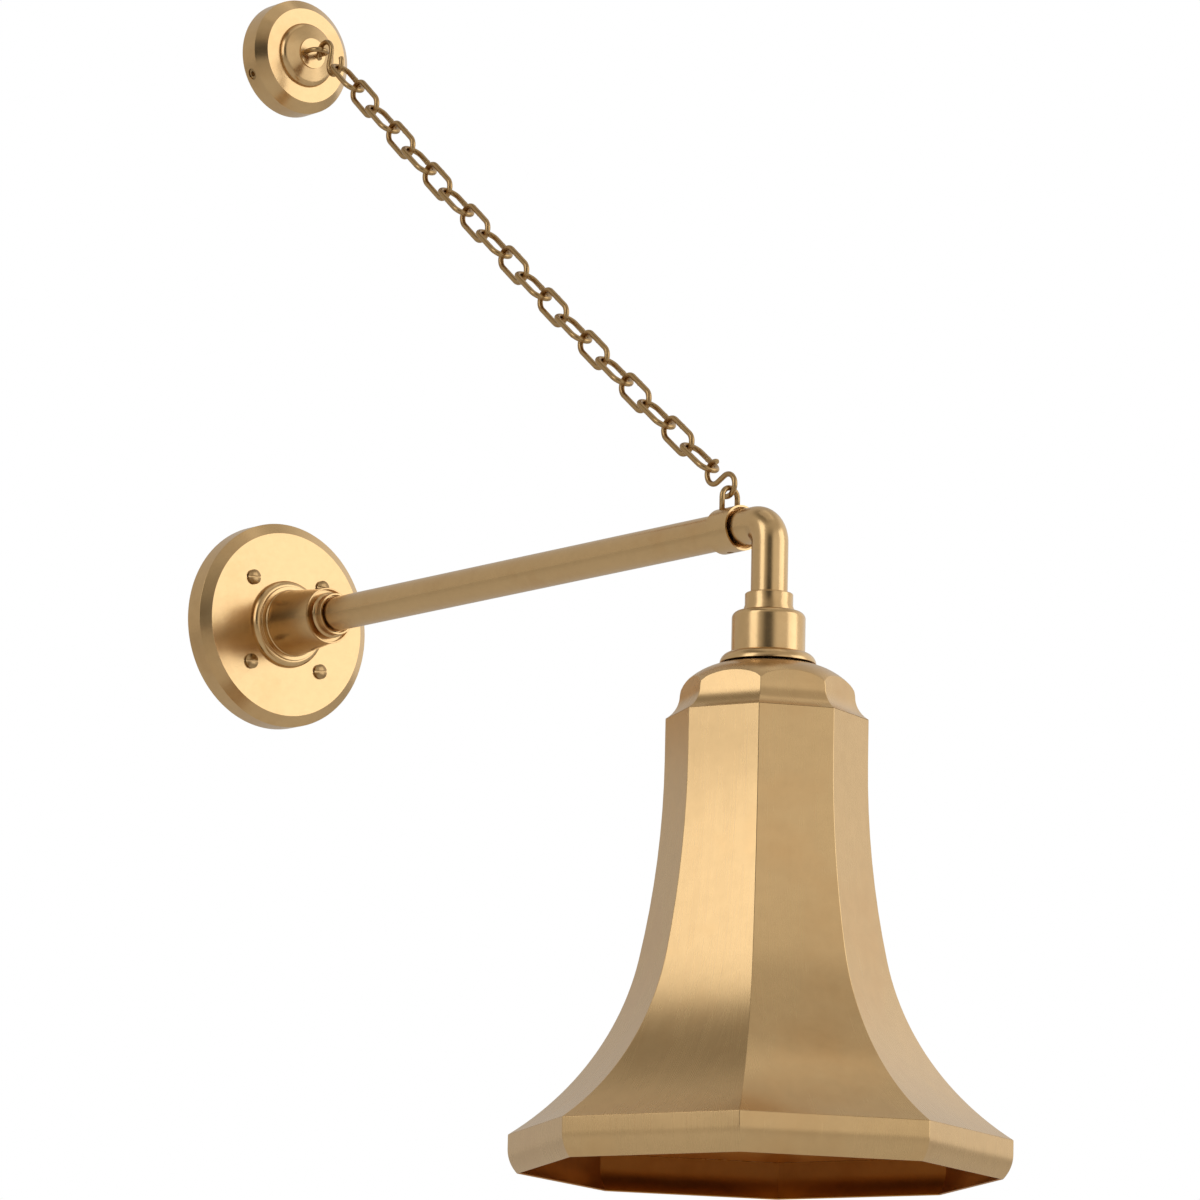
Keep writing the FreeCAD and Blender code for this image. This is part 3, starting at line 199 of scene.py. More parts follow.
def glazed(name, colour):
    """Glazed porcelain: almost even, with a few dark specks under a clear coat."""
    made = Nodes(name)
    cloud = made.noise((30.0,) * 3, detail=3.0)
    speck = made.noise((900.0,) * 3, detail=2.0)
    base = made.ramp(cloud, [(0.3, shade_of(colour, 0.95)), (0.7, colour)])
    dots = made.ramp(speck, [(0.24, (0.55, 0.5, 0.42)), (0.3, (1.0, 1.0, 1.0))])
    made.join(made.mix(0.5, base, dots, blend="MULTIPLY"), made.shader.inputs["Base Color"])
    made.join(made.span(cloud, 0.1, 0.2), made.shader.inputs["Roughness"])
    made.shader.inputs["Coat Weight"].default_value = 0.4
    made.shader.inputs["Coat Roughness"].default_value = 0.06
    made.bump(cloud, 0.15, 0.0004)
    return made.material


porcelain = glazed("porcelain", (0.88, 0.86, 0.80))

# ---------------------------------------------------------------------------------------------
# Mesh making
# ---------------------------------------------------------------------------------------------

OUTWARD = Matrix.Rotation(math.pi / 2, 4, "X")
PENDANT = Matrix.Translation((0, -ARM_REACH * MM, 0))

# The grain of a turned piece or a wire is laid as if round a core of this radius, in mm.
TURNED_CORE = 40
WIRE_CORE = 2


def outward(z=0.0):
    """The frame of a turned piece that stands out of the wall at this height, in mm."""
    return Matrix.Translation((0, 0, z * MM)) @ OUTWARD


def piece(name, points, faces, material, body, nodes, slot, place=None, grain=None,
          bevel=0.0, segments=2, angle=25.0):
    """Makes a piece from points in mm, rounds its edges, and stands it in for CAD nodes."""
    mesh = bpy.data.meshes.new(name)
    mesh.from_pydata([Vector(p) * MM for p in points], [], faces)
    if grain:
        layer = mesh.attributes.new("grain", "FLOAT_VECTOR", "POINT")
        for item, value in zip(layer.data, grain):
            item.vector = value
    work = bmesh.new()
    work.from_mesh(mesh)
    bmesh.ops.remove_doubles(work, verts=work.verts, dist=1e-7)
    bmesh.ops.recalc_face_normals(work, faces=work.faces)
    work.to_mesh(mesh)
    work.free()
    mesh.polygons.foreach_set("use_smooth", [True] * len(mesh.polygons))
    made = bpy.data.objects.new(name, mesh)
    bpy.context.scene.collection.objects.link(made)
    if place is not None:
        made.matrix_world = place
    mesh.materials.append(material)
    if bevel:
        rounding = made.modifiers.new("rounded_edges", "BEVEL")
        rounding.width = bevel * MM
        rounding.segments = segments
        rounding.limit_method = "ANGLE"
        rounding.angle_limit = math.radians(angle)
        rounding.harden_normals = True
        rounding.use_clamp_overlap = True
        rounding.miter_outer = "MITER_ARC"
    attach(made, body)
    if nodes:
        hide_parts(*nodes)
    return made


def arc(start, end, bend, step):
    """Points from start towards end along the short arc of this radius; minus is clockwise."""
    start, end = Vector(start), Vector(end)
    chord = end - start
    rise = math.sqrt(max(bend * bend - chord.length_squared / 4, 0.0))
    side = Vector((-chord.y, chord.x)).normalized()
    centre = (start + end) / 2 + side * math.copysign(rise, bend)
    first = math.atan2(start.y - centre.y, start.x - centre.x)
    sweep = math.atan2(end.y - centre.y, end.x - centre.x) - first
    sweep = (sweep + math.pi) % (2 * math.pi) - math.pi
    count = max(2, math.ceil(abs(math.degrees(sweep)) / step))
    radius = abs(bend)
    return [
        (centre.x + radius * math.cos(first + sweep * i / count),
         centre.y + radius * math.sin(first + sweep * i / count))
        for i in range(count)
    ]


def outline(corners, step):
    """Corners (x, y) or (x, y, bend) as plain points; an arc leaves a corner that has a bend."""
    points = []
    for i, corner in enumerate(corners):
        after = corners[(i + 1) % len(corners)]
        if len(corner) > 2:
            points += arc(corner[:2], after[:2], corner[2], step)
        else:
            points.append((corner[0], corner[1]))
    return points


def lathe(name, corners, material, body, nodes, slot, place, steps=128, step=7.0, **options):
    """Turns a closed outline of (radius, height) corners round the local Z axis."""
    profile = outline(corners, step)
    points, grain, faces = [], [], []
    run = 0.0
    count = len(profile)
    for i, (radius, height) in enumerate(profile):
        if i:
            run += math.dist(profile[i - 1], profile[i])
        for k in range(steps):
            a = 2 * math.pi * k / steps
            points.append((radius * math.cos(a), radius * math.sin(a), height))
            grain.append((math.cos(a) * MM * TURNED_CORE, math.sin(a) * MM * TURNED_CORE,
                          run * MM))
    for i in range(count):
        j = (i + 1) % count
        if profile[i][0] < 1e-9 and profile[j][0] < 1e-9:
            continue
        for k in range(steps):
            m = (k + 1) % steps
            quad = [i * steps + k, i * steps + m, j * steps + m, j * steps + k]
            if profile[i][0] < 1e-9:
                quad = [i * steps, j * steps + m, j * steps + k]
            elif profile[j][0] < 1e-9:
                quad = [i * steps + k, i * steps + m, j * steps]
            faces.append(quad)
    return piece(name, points, faces, material, body, nodes, slot, place, grain, **options)


def carve(made, cutter_mesh):
    """Takes a closed mesh, drawn in the piece's own frame, out of the piece."""
    cutter = bpy.data.objects.new("cutter", cutter_mesh)
    bpy.context.scene.collection.objects.link(cutter)
    cutter.matrix_world = made.matrix_world
    hole = made.modifiers.new("holes", "BOOLEAN")
    hole.operation = "DIFFERENCE"
    hole.solver = "EXACT"
    hole.object = cutter
    made.modifiers.move(len(made.modifiers) - 1, 0)
    with bpy.context.temp_override(object=made, active_object=made, selected_objects=[made]):
        bpy.ops.object.modifier_apply(modifier="holes")
    bpy.data.objects.remove(cutter)


def drill(made, places, radius, depth, sides=40):
    """Cuts round holes, each along the local Z of its place in the piece's own frame."""
    work = bmesh.new()
    for place in places:
        bmesh.ops.create_cone(work, cap_ends=True, segments=sides, radius1=radius * MM,
                              radius2=radius * MM, depth=depth * MM, matrix=place)
    cutter_mesh = bpy.data.meshes.new("cutter")
    work.to_mesh(cutter_mesh)
    work.free()
    carve(made, cutter_mesh)


def tube(path, radius, closed, sides=16, taper=None):
    """Round wire along a path of points: (points, faces, grain)."""
    path = [Vector(p) for p in path]
    count = len(path)
    tangents = []
    for i in range(count):
        before = path[i - 1] if closed or i else path[i]
        after = path[(i + 1) % count] if closed or i + 1 < count else path[i]
        tangents.append((after - before).normalized())
    side = tangents[0].orthogonal().normalized()
    points, faces, grain = [], [], []
    run = 0.0
    for i, (place, along) in enumerate(zip(path, tangents)):
        side = (side - along * side.dot(along)).normalized()
        other = along.cross(side)
        if i:
            run += (place - path[i - 1]).length
        scale = taper[i] if taper else 1.0
        for k in range(sides):
            a = 2 * math.pi * k / sides
            points.append(place + (side * math.cos(a) + other * math.sin(a)) * radius * scale)
            grain.append((math.cos(a) * MM * WIRE_CORE, math.sin(a) * MM * WIRE_CORE, run * MM))
    turns = count if closed else count - 1
    for i in range(turns):
        j = (i + 1) % count
        for k in range(sides):
            m = (k + 1) % sides
            faces.append([i * sides + k, i * sides + m, j * sides + m, j * sides + k])
    if not closed:
        faces.append(list(range(sides))[::-1])
        faces.append([(count - 1) * sides + k for k in range(sides)])
    return points, faces, grain


def circle_run(cx, cy, radius, first, last, step=9.0):
    """Points (x, y, 0) along an arc between two angles in degrees, with both ends."""
    count = max(2, math.ceil(abs(last - first) / step))
    angles = [math.radians(first + (last - first) * i / count) for i in range(count + 1)]
    return [(cx + radius * math.cos(a), cy + radius * math.sin(a), 0.0) for a in angles]


# ---------------------------------------------------------------------------------------------
# Wall plate
# ---------------------------------------------------------------------------------------------

BORE = ARM_RADIUS + 0.1
SCREW_AT = 41.0 * math.sqrt(0.5)

plate = lathe(
    "plate_turned",
    [(67.85, 0), (69.85, 0), (69.85, 13.5), (62.8, 18.0), (BORE, 18.0), (BORE, 16.0),
     (61.8, 16.0), (67.85, 12.5)],
    antique, "wall_frame", ["wall_plate"], "antique_brass", outward(), steps=192, bevel=0.7,
    segments=3,
)
screw_spots = [(-SCREW_AT, -SCREW_AT), (SCREW_AT, -SCREW_AT), (-SCREW_AT, SCREW_AT),
               (SCREW_AT, SCREW_AT)]
drill(plate, [Matrix.Translation((x * MM, y * MM, 17 * MM)) for x, y in screw_spots],
      radius=2.6, depth=8)

# How far each screw's slot is turned, in degrees, by the side and the height it sits at.
SLOT_TURNS = {(-1, 1): 4.0, (1, 1): -2.0, (-1, -1): 3.0, (1, -1): 7.0}
SLOT_LENGTH, SLOT_WIDTH, SLOT_DEPTH, SLOT_MIDDLE = 14, 1.3, 2.4, 20.1


def slotted_screws():
    """Four round-head screws, domed over a short edge, with a sawn slot across each head."""
    for number, ((across, up), slot_turn) in enumerate(SLOT_TURNS.items(), 1):
        place = (outward() @ Matrix.Translation((across * SCREW_AT * MM, up * SCREW_AT * MM, 0))
                 @ Matrix.Rotation(math.radians(slot_turn), 4, "Z"))
        screw = lathe(
            f"plate_screw_{number}",
            [(0, 0.8), (1.9, 0.8), (2.4, 1.3), (2.4, 18.0), (5.1, 18.0), (5.1, 19.4, 12.4),
             (0, 20.5)],
            dark_bronze, "wall_frame", ["plate_screws"], "screw_bronze", place, steps=48,
            step=5.0, bevel=0.15,
        )
        slot = bpy.data.meshes.new("slot")
        work = bmesh.new()
        size = Matrix.Diagonal((SLOT_LENGTH * MM, SLOT_WIDTH * MM, SLOT_DEPTH * MM, 1.0))
        bmesh.ops.create_cube(work, size=1.0,
                              matrix=Matrix.Translation((0, 0, SLOT_MIDDLE * MM)) @ size)
        work.to_mesh(slot)
        work.free()
        carve(screw, slot)


slotted_screws()

# ---------------------------------------------------------------------------------------------
# Arm
# ---------------------------------------------------------------------------------------------

COLLAR_RADIUS = 14.4
COLLAR_SCREW_IN, COLLAR_SCREW_AT = 13.2, 484.6

lathe(
    "base_ring_turned",
    [(BORE, 18.0), (29.8, 18.0), (29.8, 18.8, 4.0), (25.8, 22.8), (25.4, 22.8), (25.4, 24.3),
     (BORE, 24.3)],
    antique, "wall_frame", ["base_ring"], "antique_brass", outward(), steps=144, bevel=0.25,
)
lathe(
    "socket_turned",
    [(BORE, 24.3), (22.9, 24.3), (22.9, 25.4), (22.4, 25.9), (18.4, 64.5), (18.9, 65.0),
     (18.9, 66.1), (17.8, 66.1), (17.8, 63.7), (BORE, 63.7)],
    antique, "wall_frame", ["arm_socket"], "antique_brass", outward(), steps=128, bevel=0.2,
)
lathe(
    "stepped_ring_turned",
    [(BORE, 63.7), (15.5, 63.7), (15.5, 68.3), (14.3, 69.5), (13.6, 69.5), (13.6, 70.3),
     (14.1, 70.3), (14.1, 75.1), (12.7, 75.1), (12.7, 71.6), (BORE, 71.6)],
    antique, "wall_frame", ["arm_ring"], "antique_brass", outward(), steps=128, bevel=0.25,
)
lathe(
    "tube_drawn",
    [(10.3, 9.0), (ARM_RADIUS, 9.0), (ARM_RADIUS, 486.7), (10.3, 486.7)],
    antique, "wall_frame", ["arm_tube"], "antique_brass", outward(), steps=96, bevel=0.2,
)
collar = lathe(
    "end_collar_turned",
    [(BORE, 475.0), (12.8, 475.0), (COLLAR_RADIUS, 476.6), (COLLAR_RADIUS, 496.0),
     (13.2, 496.0), (13.2, 490.0), (7.08, 490.0), (7.08, 487.0), (BORE, 487.0)],
    antique, "wall_frame", ["end_collar"], "antique_brass", outward(), steps=128, bevel=0.3,
)
collar_hole = Matrix.Translation((0, -COLLAR_SCREW_IN * MM, COLLAR_SCREW_AT * MM))
drill(collar, [collar_hole @ OUTWARD], radius=2.1, depth=6)

# ---------------------------------------------------------------------------------------------
# Pendant
# ---------------------------------------------------------------------------------------------


def elbow_piece():
    """Bent tube from the collar's mouth to the neck, open at both ends."""
    start, bend, end = 490.3, 13.5, -52.7
    sides, turns = 72, 16
    path = [(0, -start, 0), (0, -(ARM_REACH - bend), 0)]
    for i in range(1, turns + 1):
        a = math.radians(90 - 90 * i / turns)
        path.append((0, -(ARM_REACH - bend + bend * math.cos(a)), -bend + bend * math.sin(a)))
    path.append((0, -ARM_REACH, end))
    outer, faces, grain = tube(path, ARM_RADIUS, False, sides=sides)
    inner, inner_faces, _ = tube(path, 10.0, False, sides=sides)
    # The last two faces are the tube's end caps.
    faces, inner_faces = faces[:-2], inner_faces[:-2]
    shift = len(outer)
    faces += [[v + shift for v in reversed(f)] for f in inner_faces]
    last = (len(path) - 1) * sides
    for base in (0, last):
        for k in range(sides):
            m = (k + 1) % sides
            faces.append([base + k, base + m, shift + base + m, shift + base + k])
    piece("elbow_bent", outer + inner, faces, antique, "pendant", ["elbow"],
          "antique_brass", None, grain + grain, bevel=0.3)


elbow_piece()
lathe(
    "neck_collar_turned",
    [(BORE, -45.5), (14.4, -45.5), (15.0, -46.1), (15.0, -53.2), (15.9, -56.0), (15.9, -57.2),
     (5.05, -57.2), (5.05, -53.0), (BORE, -53.0)],
    antique, "pendant", ["neck_collar"], "antique_brass", PENDANT, steps=128, bevel=0.2,
)
lathe(
    "socket_cup_turned",
    [(5.05, -57.2), (18.6, -57.2, -4.3), (22.9, -61.5), (22.9, -83.2), (21.7, -83.2),
     (21.7, -61.5), (18.6, -58.4), (5.05, -58.4)],
    antique, "pendant", ["socket_cup"], "antique_brass", PENDANT, steps=128, bevel=0.2,
)
# The flange's swelling is an arc over this run and rise, eased a little.
SWELL, SPRING = 7.1, 6.3
FLANGE_BEND = (SWELL**2 + SPRING**2) / (2 * SPRING) * 1.02
lathe(
    "flange_turned",
    [(19.4, -90.0), (30.0, -90.0), (30.0, -89.5, FLANGE_BEND), (22.9, -83.2), (19.4, -83.2)],
    antique, "pendant", ["shade_flange"], "antique_brass", PENDANT, steps=144, bevel=0.2,
)
lathe(
    "holder_glazed",
    [(5.05, -60.0), (18.4, -60.0), (18.4, -80.0), (19.3, -80.0), (19.3, -104.0), (14.6, -104.0),
     (14.6, -70.0), (5.05, -70.0)],
    porcelain, "pendant", ["lampholder_body"], "porcelain", PENDANT, steps=96, bevel=0.6,
    segments=3,
)


def screw_shell():
    """Rolled brass sleeve with the lamp's coarse round thread."""
    pitch, top, bottom = 3.63, -73.0, -101.0
    inner, outer, thread, run_out = 13.25, 13.85, 0.45, 6
    columns, rows = 72, 96
    points, faces, grain = [], [], []
    for base in (inner, outer):
        for i in range(rows + 1):
            height = bottom + (top - bottom) * i / rows
            fade = min(1.0, i / run_out, (rows - i) / run_out)
            for k in range(columns):
                a = 2 * math.pi * k / columns
                wave = 0.5 - 0.5 * math.cos(2 * math.pi * height / pitch - a)
                radius = base + thread * wave * fade
                points.append((radius * math.cos(a), radius * math.sin(a), height))
                grain.append((math.cos(a) * MM * TURNED_CORE, math.sin(a) * MM * TURNED_CORE,
                              height * MM))
    layer = columns * (rows + 1)
    for i in range(rows):
        for k in range(columns):
            m = (k + 1) % columns
            a, b, c, d = (i * columns + k, i * columns + m, (i + 1) * columns + m,
                          (i + 1) * columns + k)
            faces.append([d, c, b, a])
            faces.append([layer + a, layer + b, layer + c, layer + d])
    for k in range(columns):
        m = (k + 1) % columns
        faces.append([k, m, layer + m, layer + k])
        high = rows * columns
        faces.append([high + m, high + k, layer + high + k, layer + high + m])
    # The crown: a flat ring in from the top, round the contact.
    crown = len(points)
    crown_rows = ((inner, -73.6), (8.0, -73.6), (8.0, top), (inner, top))
    for radius, height in crown_rows:
        for k in range(columns):
            a = 2 * math.pi * k / columns
            points.append((radius * math.cos(a), radius * math.sin(a), height))
            grain.append((math.cos(a) * MM * TURNED_CORE, math.sin(a) * MM * TURNED_CORE,
                          radius * MM))
    for i in range(len(crown_rows)):
        j = (i + 1) % len(crown_rows)
        for k in range(columns):
            m = (k + 1) % columns
            faces.append([crown + i * columns + k, crown + i * columns + m,
                          crown + j * columns + m, crown + j * columns + k])
    piece("screw_shell_rolled", points, faces, plain_brass, "pendant",
          ["lampholder_shell"], "plain_brass", PENDANT, grain)


screw_shell()
lathe(
    "shade_nut_turned",
    [(19.4, -91.8), (24.0, -91.8), (24.0, -93.8), (22.2, -93.8), (22.2, -97.6), (19.4, -97.6)],
    plain_brass, "pendant", ["shade_nut"], "plain_brass", PENDANT, steps=96, bevel=0.3,
)

# ---------------------------------------------------------------------------------------------
# Shade
# ---------------------------------------------------------------------------------------------

SIDES = 8
HALF = math.pi / SIDES
WALL = 1.2
CAP_TOP = -90.3
FACET_FOOT = -110.0
FACET_LEAN = 0.15
COVE_DROP = 14.6
BELL_TOP = -124.6
BELL_FOOT = -383.3
# Each side's grain starts elsewhere, so that no two sides look alike.
GRAIN_SHIFT, GRAIN_LAYER = 37.0, 0.05


def faces_inward(spot, normal):
    """True on the shade's inside: where the face looks at the axis."""
    return Vector((spot.x, spot.y)).dot(Vector((normal.x, normal.y))) < 0


def panels(name, profile, columns, nodes, edge):
    """Sweeps a closed (apothem, height) profile round eight sides; the inside gets a darker brass,
    painted shade.
    """
    points, faces, grain = [], [], []
    around = SIDES * columns
    run = 0.0
    for i, (apothem, height) in enumerate(profile):
        if i:
            run += math.dist(profile[i - 1], profile[i])
        for side in range(SIDES):
            centre = HALF + side * 2 * HALF
            for c in range(columns):
                across = apothem * math.tan(HALF) * (2 * c / columns - 1)
                x = apothem * math.cos(centre) - across * math.sin(centre)
                y = apothem * math.sin(centre) + across * math.cos(centre)
                points.append((x, y, height))
                grain.append(((across + side * GRAIN_SHIFT) * MM, run * MM, side * GRAIN_LAYER))
    count = len(profile)
    for i in range(count):
        j = (i + 1) % count
        for k in range(around):
            m = (k + 1) % around
            faces.append([i * around + k, i * around + m, j * around + m, j * around + k])
    made = piece(name, points, faces, shade_brass, "shade", nodes, "antique_brass", PENDANT,
                 grain, bevel=edge, segments=3, angle=20.0)
    # The faces that look at the axis take the darker brass: painted shade inside the shade and its
    # rim.
    made.data.materials.append(inner_painted_shade)
    for polygon in made.data.polygons:
        if faces_inward(polygon.center / MM, polygon.normal):
            polygon.material_index = 1


def bell_profile():
    """The bell from top to foot and back up inside, and its apothem at the foot."""
    neck, upper, angle, lower = 58.2, 621.7, math.radians(11.52), 172.9
    straight, upper_steps, lower_steps = 26.0, 8, 24
    bend_start = BELL_TOP - straight
    waist_x = neck + upper * (1 - math.cos(angle))
    waist_z = bend_start - upper * math.sin(angle)
    lower_x = waist_x + lower * math.cos(angle)
    lower_z = waist_z + lower * math.sin(angle)
    sides = []
    for inset in (0.0, WALL):
        rows = [(neck - inset, BELL_TOP), (neck - inset, bend_start)]
        for i in range(1, upper_steps + 1):
            a = angle * i / upper_steps
            radius = upper + inset
            rows.append((neck + upper - radius * math.cos(a), bend_start - radius * math.sin(a)))
        radius = lower + inset
        last = math.asin((lower_z - BELL_FOOT) / radius)
        for i in range(1, lower_steps + 1):
            a = angle + (last - angle) * i / lower_steps
            rows.append((lower_x - radius * math.cos(a), lower_z - radius * math.sin(a)))
        sides.append(rows)
    return sides[0] + sides[1][::-1], sides[0][-1][0]


bell_rows, MOUTH = bell_profile()
panels("bell_panels", bell_rows, 6, ["shade_bell"], edge=0.35)


def rim_profile():
    """A short straight band under the bell, rolled in at its foot."""
    straight, radius, sweep, steps = 8.7, 23.0, math.radians(41.9), 10
    roll_top = BELL_FOOT - straight
    centre = MOUTH - radius
    outer = [(MOUTH, BELL_FOOT), (MOUTH, roll_top)]
    inner = [(MOUTH - WALL, BELL_FOOT), (MOUTH - WALL, roll_top)]
    for i in range(1, steps + 1):
        a = sweep * i / steps
        outer.append((centre + radius * math.cos(a), roll_top - radius * math.sin(a)))
        inner.append((centre + (radius - WALL) * math.cos(a),
                      roll_top - (radius - WALL) * math.sin(a)))
    return outer + inner[::-1]


panels("rim_panels", rim_profile(), 6, ["shade_rim"], edge=0.35)


def cap_piece():
    """Spun dome cut by eight facets, with a cove under them down to the bell."""
    columns, dome_steps, facet_steps, cove_steps = 12, 18, 4, 8
    hole, flat, facet = 19.6, 20.5, 50.3
    dome_bend, shoulder_bend, cove_bend, slope = 43.3, 12.3, 17.2, math.radians(46)
    layers = []
    for inset in (0.0, WALL):
        dome, shoulder = dome_bend - inset, shoulder_bend - inset
        bend = cove_bend + inset
        cove_x = facet + cove_bend
        turn_x = flat + dome * math.sin(slope)
        turn_z = CAP_TOP - dome_bend + dome * math.cos(slope)
        joint_x = turn_x - shoulder * math.sin(slope)
        joint_z = turn_z - shoulder * math.cos(slope)

        def dome_height(radius):
            if radius <= flat:
                return CAP_TOP - inset
            if radius <= turn_x:
                return CAP_TOP - dome_bend + math.sqrt(dome**2 - (radius - flat) ** 2)
            return joint_z + math.sqrt(max(shoulder**2 - (radius - joint_x) ** 2, 0.0))

        rows = []
        for side in range(SIDES):
            centre = HALF + side * 2 * HALF
            for c in range(columns):
                lean = HALF * (2 * c / columns - 1)
                foot = (facet - inset) / math.cos(lean)
                # Where the leaning facet meets the dome, closed in on step by step.
                meet = foot
                for _ in range(30):
                    rise = dome_height(meet) - FACET_FOOT
                    meet = (facet - inset - FACET_LEAN * rise) / math.cos(lean)
                column = []
                for i in range(dome_steps + 1):
                    share = (i / dome_steps) ** 0.8
                    radius = hole + (meet - hole) * share
                    column.append((radius, dome_height(radius)))
                top = column[-1][1]
                for i in range(1, facet_steps + 1):
                    column.append((meet + (foot - meet) * i / facet_steps,
                                   top + (FACET_FOOT - top) * i / facet_steps))
                for i in range(1, cove_steps + 1):
                    drop = COVE_DROP * i / cove_steps
                    apothem = cove_x - math.sqrt(bend**2 - drop**2)
                    column.append((apothem / math.cos(lean), FACET_FOOT - drop))
                rows.append([(r * math.cos(centre + lean), r * math.sin(centre + lean), z)
                             for r, z in column])
        layers.append(rows)
    points, faces, grain = [], [], []
    depth = len(layers[0][0])
    around = SIDES * columns
    for rows in layers:
        for column in rows:
            run = 0.0
            for i, spot in enumerate(column):
                if i:
                    run += math.dist(column[i - 1], spot)
                points.append(spot)
                grain.append((spot[0] * MM, spot[1] * MM, run * MM))
    inner = around * depth
    for k in range(around):
        m = (k + 1) % around
        for i in range(depth - 1):
            quad = [k * depth + i, m * depth + i, m * depth + i + 1, k * depth + i + 1]
            faces.append(quad)
            faces.append([inner + v for v in reversed(quad)])
        for i in (0, depth - 1):
            faces.append([k * depth + i, m * depth + i, inner + m * depth + i,
                          inner + k * depth + i])
    piece("cap_spun", points, faces, shade_brass, "shade", ["shade_cap"],
          "antique_brass", PENDANT, grain, bevel=0.35, segments=3, angle=14.0)


cap_piece()

# ---------------------------------------------------------------------------------------------
# Chain
# ---------------------------------------------------------------------------------------------

LINKS = 19
WIRE = 1.75
LINK_WIRE = 1.86
LINK_LENGTH = 35.2
CHAIN_GAP = 0.3
CHAIN_SAG = 4.0
HOOK_HALF, HOOK_BEND = 8.0, 7.2
STAPLE_HALF = 6.2
STAPLE_SUNK = 1.45
CANOPY_LOOP_FOOT, CANOPY_LOOP_OUT = 23.5, 39.5
COLLAR_LOOP_AT, COLLAR_LOOP_RISE = 483.0, 27.2


def chain_places():
    """Each hook's and link's middle, down-chain and square directions, and the canopy's height."""
    centres = 2 * HOOK_HALF
    seat = HOOK_BEND - WIRE - WIRE - CHAIN_GAP
    inside = LINK_LENGTH - 2 * WIRE
    runs = [2 * seat + centres] + [inside] * LINKS + [2 * seat + centres]
    steps = list(runs)
    for i in range(1, LINKS):
        steps[i] -= 2 * WIRE + CHAIN_GAP
    total, travelled, lean = sum(steps), 0.0, []
    for step in steps:
        lean.append(math.radians(CHAIN_SAG * (0.5 - (travelled + step / 2) / total)))
        travelled += step
    span = COLLAR_LOOP_AT - CANOPY_LOOP_OUT
    along = sum(s * math.cos(a) for s, a in zip(steps, lean))
    sideways = sum(s * math.sin(a) for s, a in zip(steps, lean))
    mean = math.acos(span / math.hypot(along, sideways)) - math.atan2(sideways, along)
    slopes = [mean + a for a in lean]
    height = COLLAR_LOOP_RISE + sum(s * math.sin(a) for s, a in zip(steps, slopes))
    start = Vector((0, -CANOPY_LOOP_OUT, height))
    places = []
    for run, step, slope in zip(runs, steps, slopes):
        down = Vector((0, -math.cos(slope), -math.sin(slope)))
        square = Vector((0, -math.sin(slope), math.cos(slope)))
        hook = len(places) in (0, LINKS + 1)
        middle = start + down * (seat + centres / 2 if hook else run / 2)
        places.append((middle, down, square))
        start = start + down * step
    return places, height


PLACES, CANOPY_HEIGHT = chain_places()


def frame_of(middle, local_x, local_y):
    """The frame with these X and Y axes, round a middle in mm."""
    turned = Matrix((local_x, local_y, local_x.cross(local_y))).transposed().to_4x4()
    return Matrix.Translation(middle * MM) @ turned


def link_piece(number, place):
    """A welded oval link: round wire, with the weld's small swelling on one side."""
    rng = random.Random(100 + number)
    bend, straight = 7.05, 8.8
    weld_steps = (0.2, 0.38, 0.43, 0.47, 0.5, 0.53, 0.57, 0.62, 0.8)
    weld = [(straight * (1 - 2 * s), bend, 0.0) for s in weld_steps]
    first = circle_run(straight, 0, bend, -90, 90)
    second = circle_run(-straight, 0, bend, 90, 270)
    lower = [(straight * (2 * s - 1), -bend, 0.0) for s in (0.25, 0.5, 0.75)]
    path = first + weld + second + lower
    bulge = 1.06 + 0.04 * rng.random()
    swell = {3: 1.02, 4: bulge, 5: 1.02}
    taper = [1.0] * len(first) + [swell.get(i, 1.0) for i in range(len(weld))]
    taper += [1.0] * (len(second) + len(lower))
    points, faces, grain = tube(path, LINK_WIRE, True, sides=20, taper=taper)
    offset = rng.uniform(0.0, 1.0)
    grain = [(g[0] + offset, g[1], g[2]) for g in grain]
    name = f"link_{number:02d}"
    piece(f"chain_{name}", points, faces, wire_brass, "chain", [name], "chain_brass",
          place, grain)


for number in range(1, LINKS + 1):
    middle, down, square = PLACES[number]
    link_piece(number, frame_of(middle, down, Vector((1, 0, 0)) if number % 2 else square))


def hook_piece(name, node, middle, down, side):
    """S-hook of round wire with its ends cut square and eased."""
    turned = 226.0
    straight = math.sqrt(HOOK_HALF**2 - HOOK_BEND**2)
    upper = circle_run(straight, HOOK_BEND, HOOK_BEND, -90, turned - 90, step=8.0)
    lower = [(-x, -y, 0.0) for x, y, _ in reversed(upper)]
    path = lower + upper
    points, faces, grain = tube(path, WIRE, False, sides=16)
    slant = math.asin(HOOK_BEND / HOOK_HALF)
    local_x = down * math.cos(slant) - side * math.sin(slant)
    local_y = down * math.sin(slant) + side * math.cos(slant)
    piece(name, points, faces, wire_brass, "chain", [node], "chain_brass",
          frame_of(middle, local_x, local_y), grain, bevel=0.4, segments=3, angle=50.0)


hook_piece("upper_hook_bent", "s_hook_upper", *PLACES[0][:2], PLACES[0][2])
hook_piece("lower_hook_bent", "s_hook_lower", *PLACES[-1][:2], -PLACES[-1][2])


def staple_piece(name, node, out, foot, stand, spot):
    """Bent wire staple with its legs in what carries it."""
    crown = circle_run(stand - foot - STAPLE_HALF, 0, STAPLE_HALF, -90, 90)
    path = [(0, -STAPLE_HALF, 0)] + crown + [(0, STAPLE_HALF, 0)]
    points, faces, grain = tube(path, WIRE, False, sides=20)
    across = Vector((1, 0, 0))
    piece(name, points, faces, wire_brass, "wall_frame", [node], "chain_brass",
          frame_of(spot, out, across), grain)


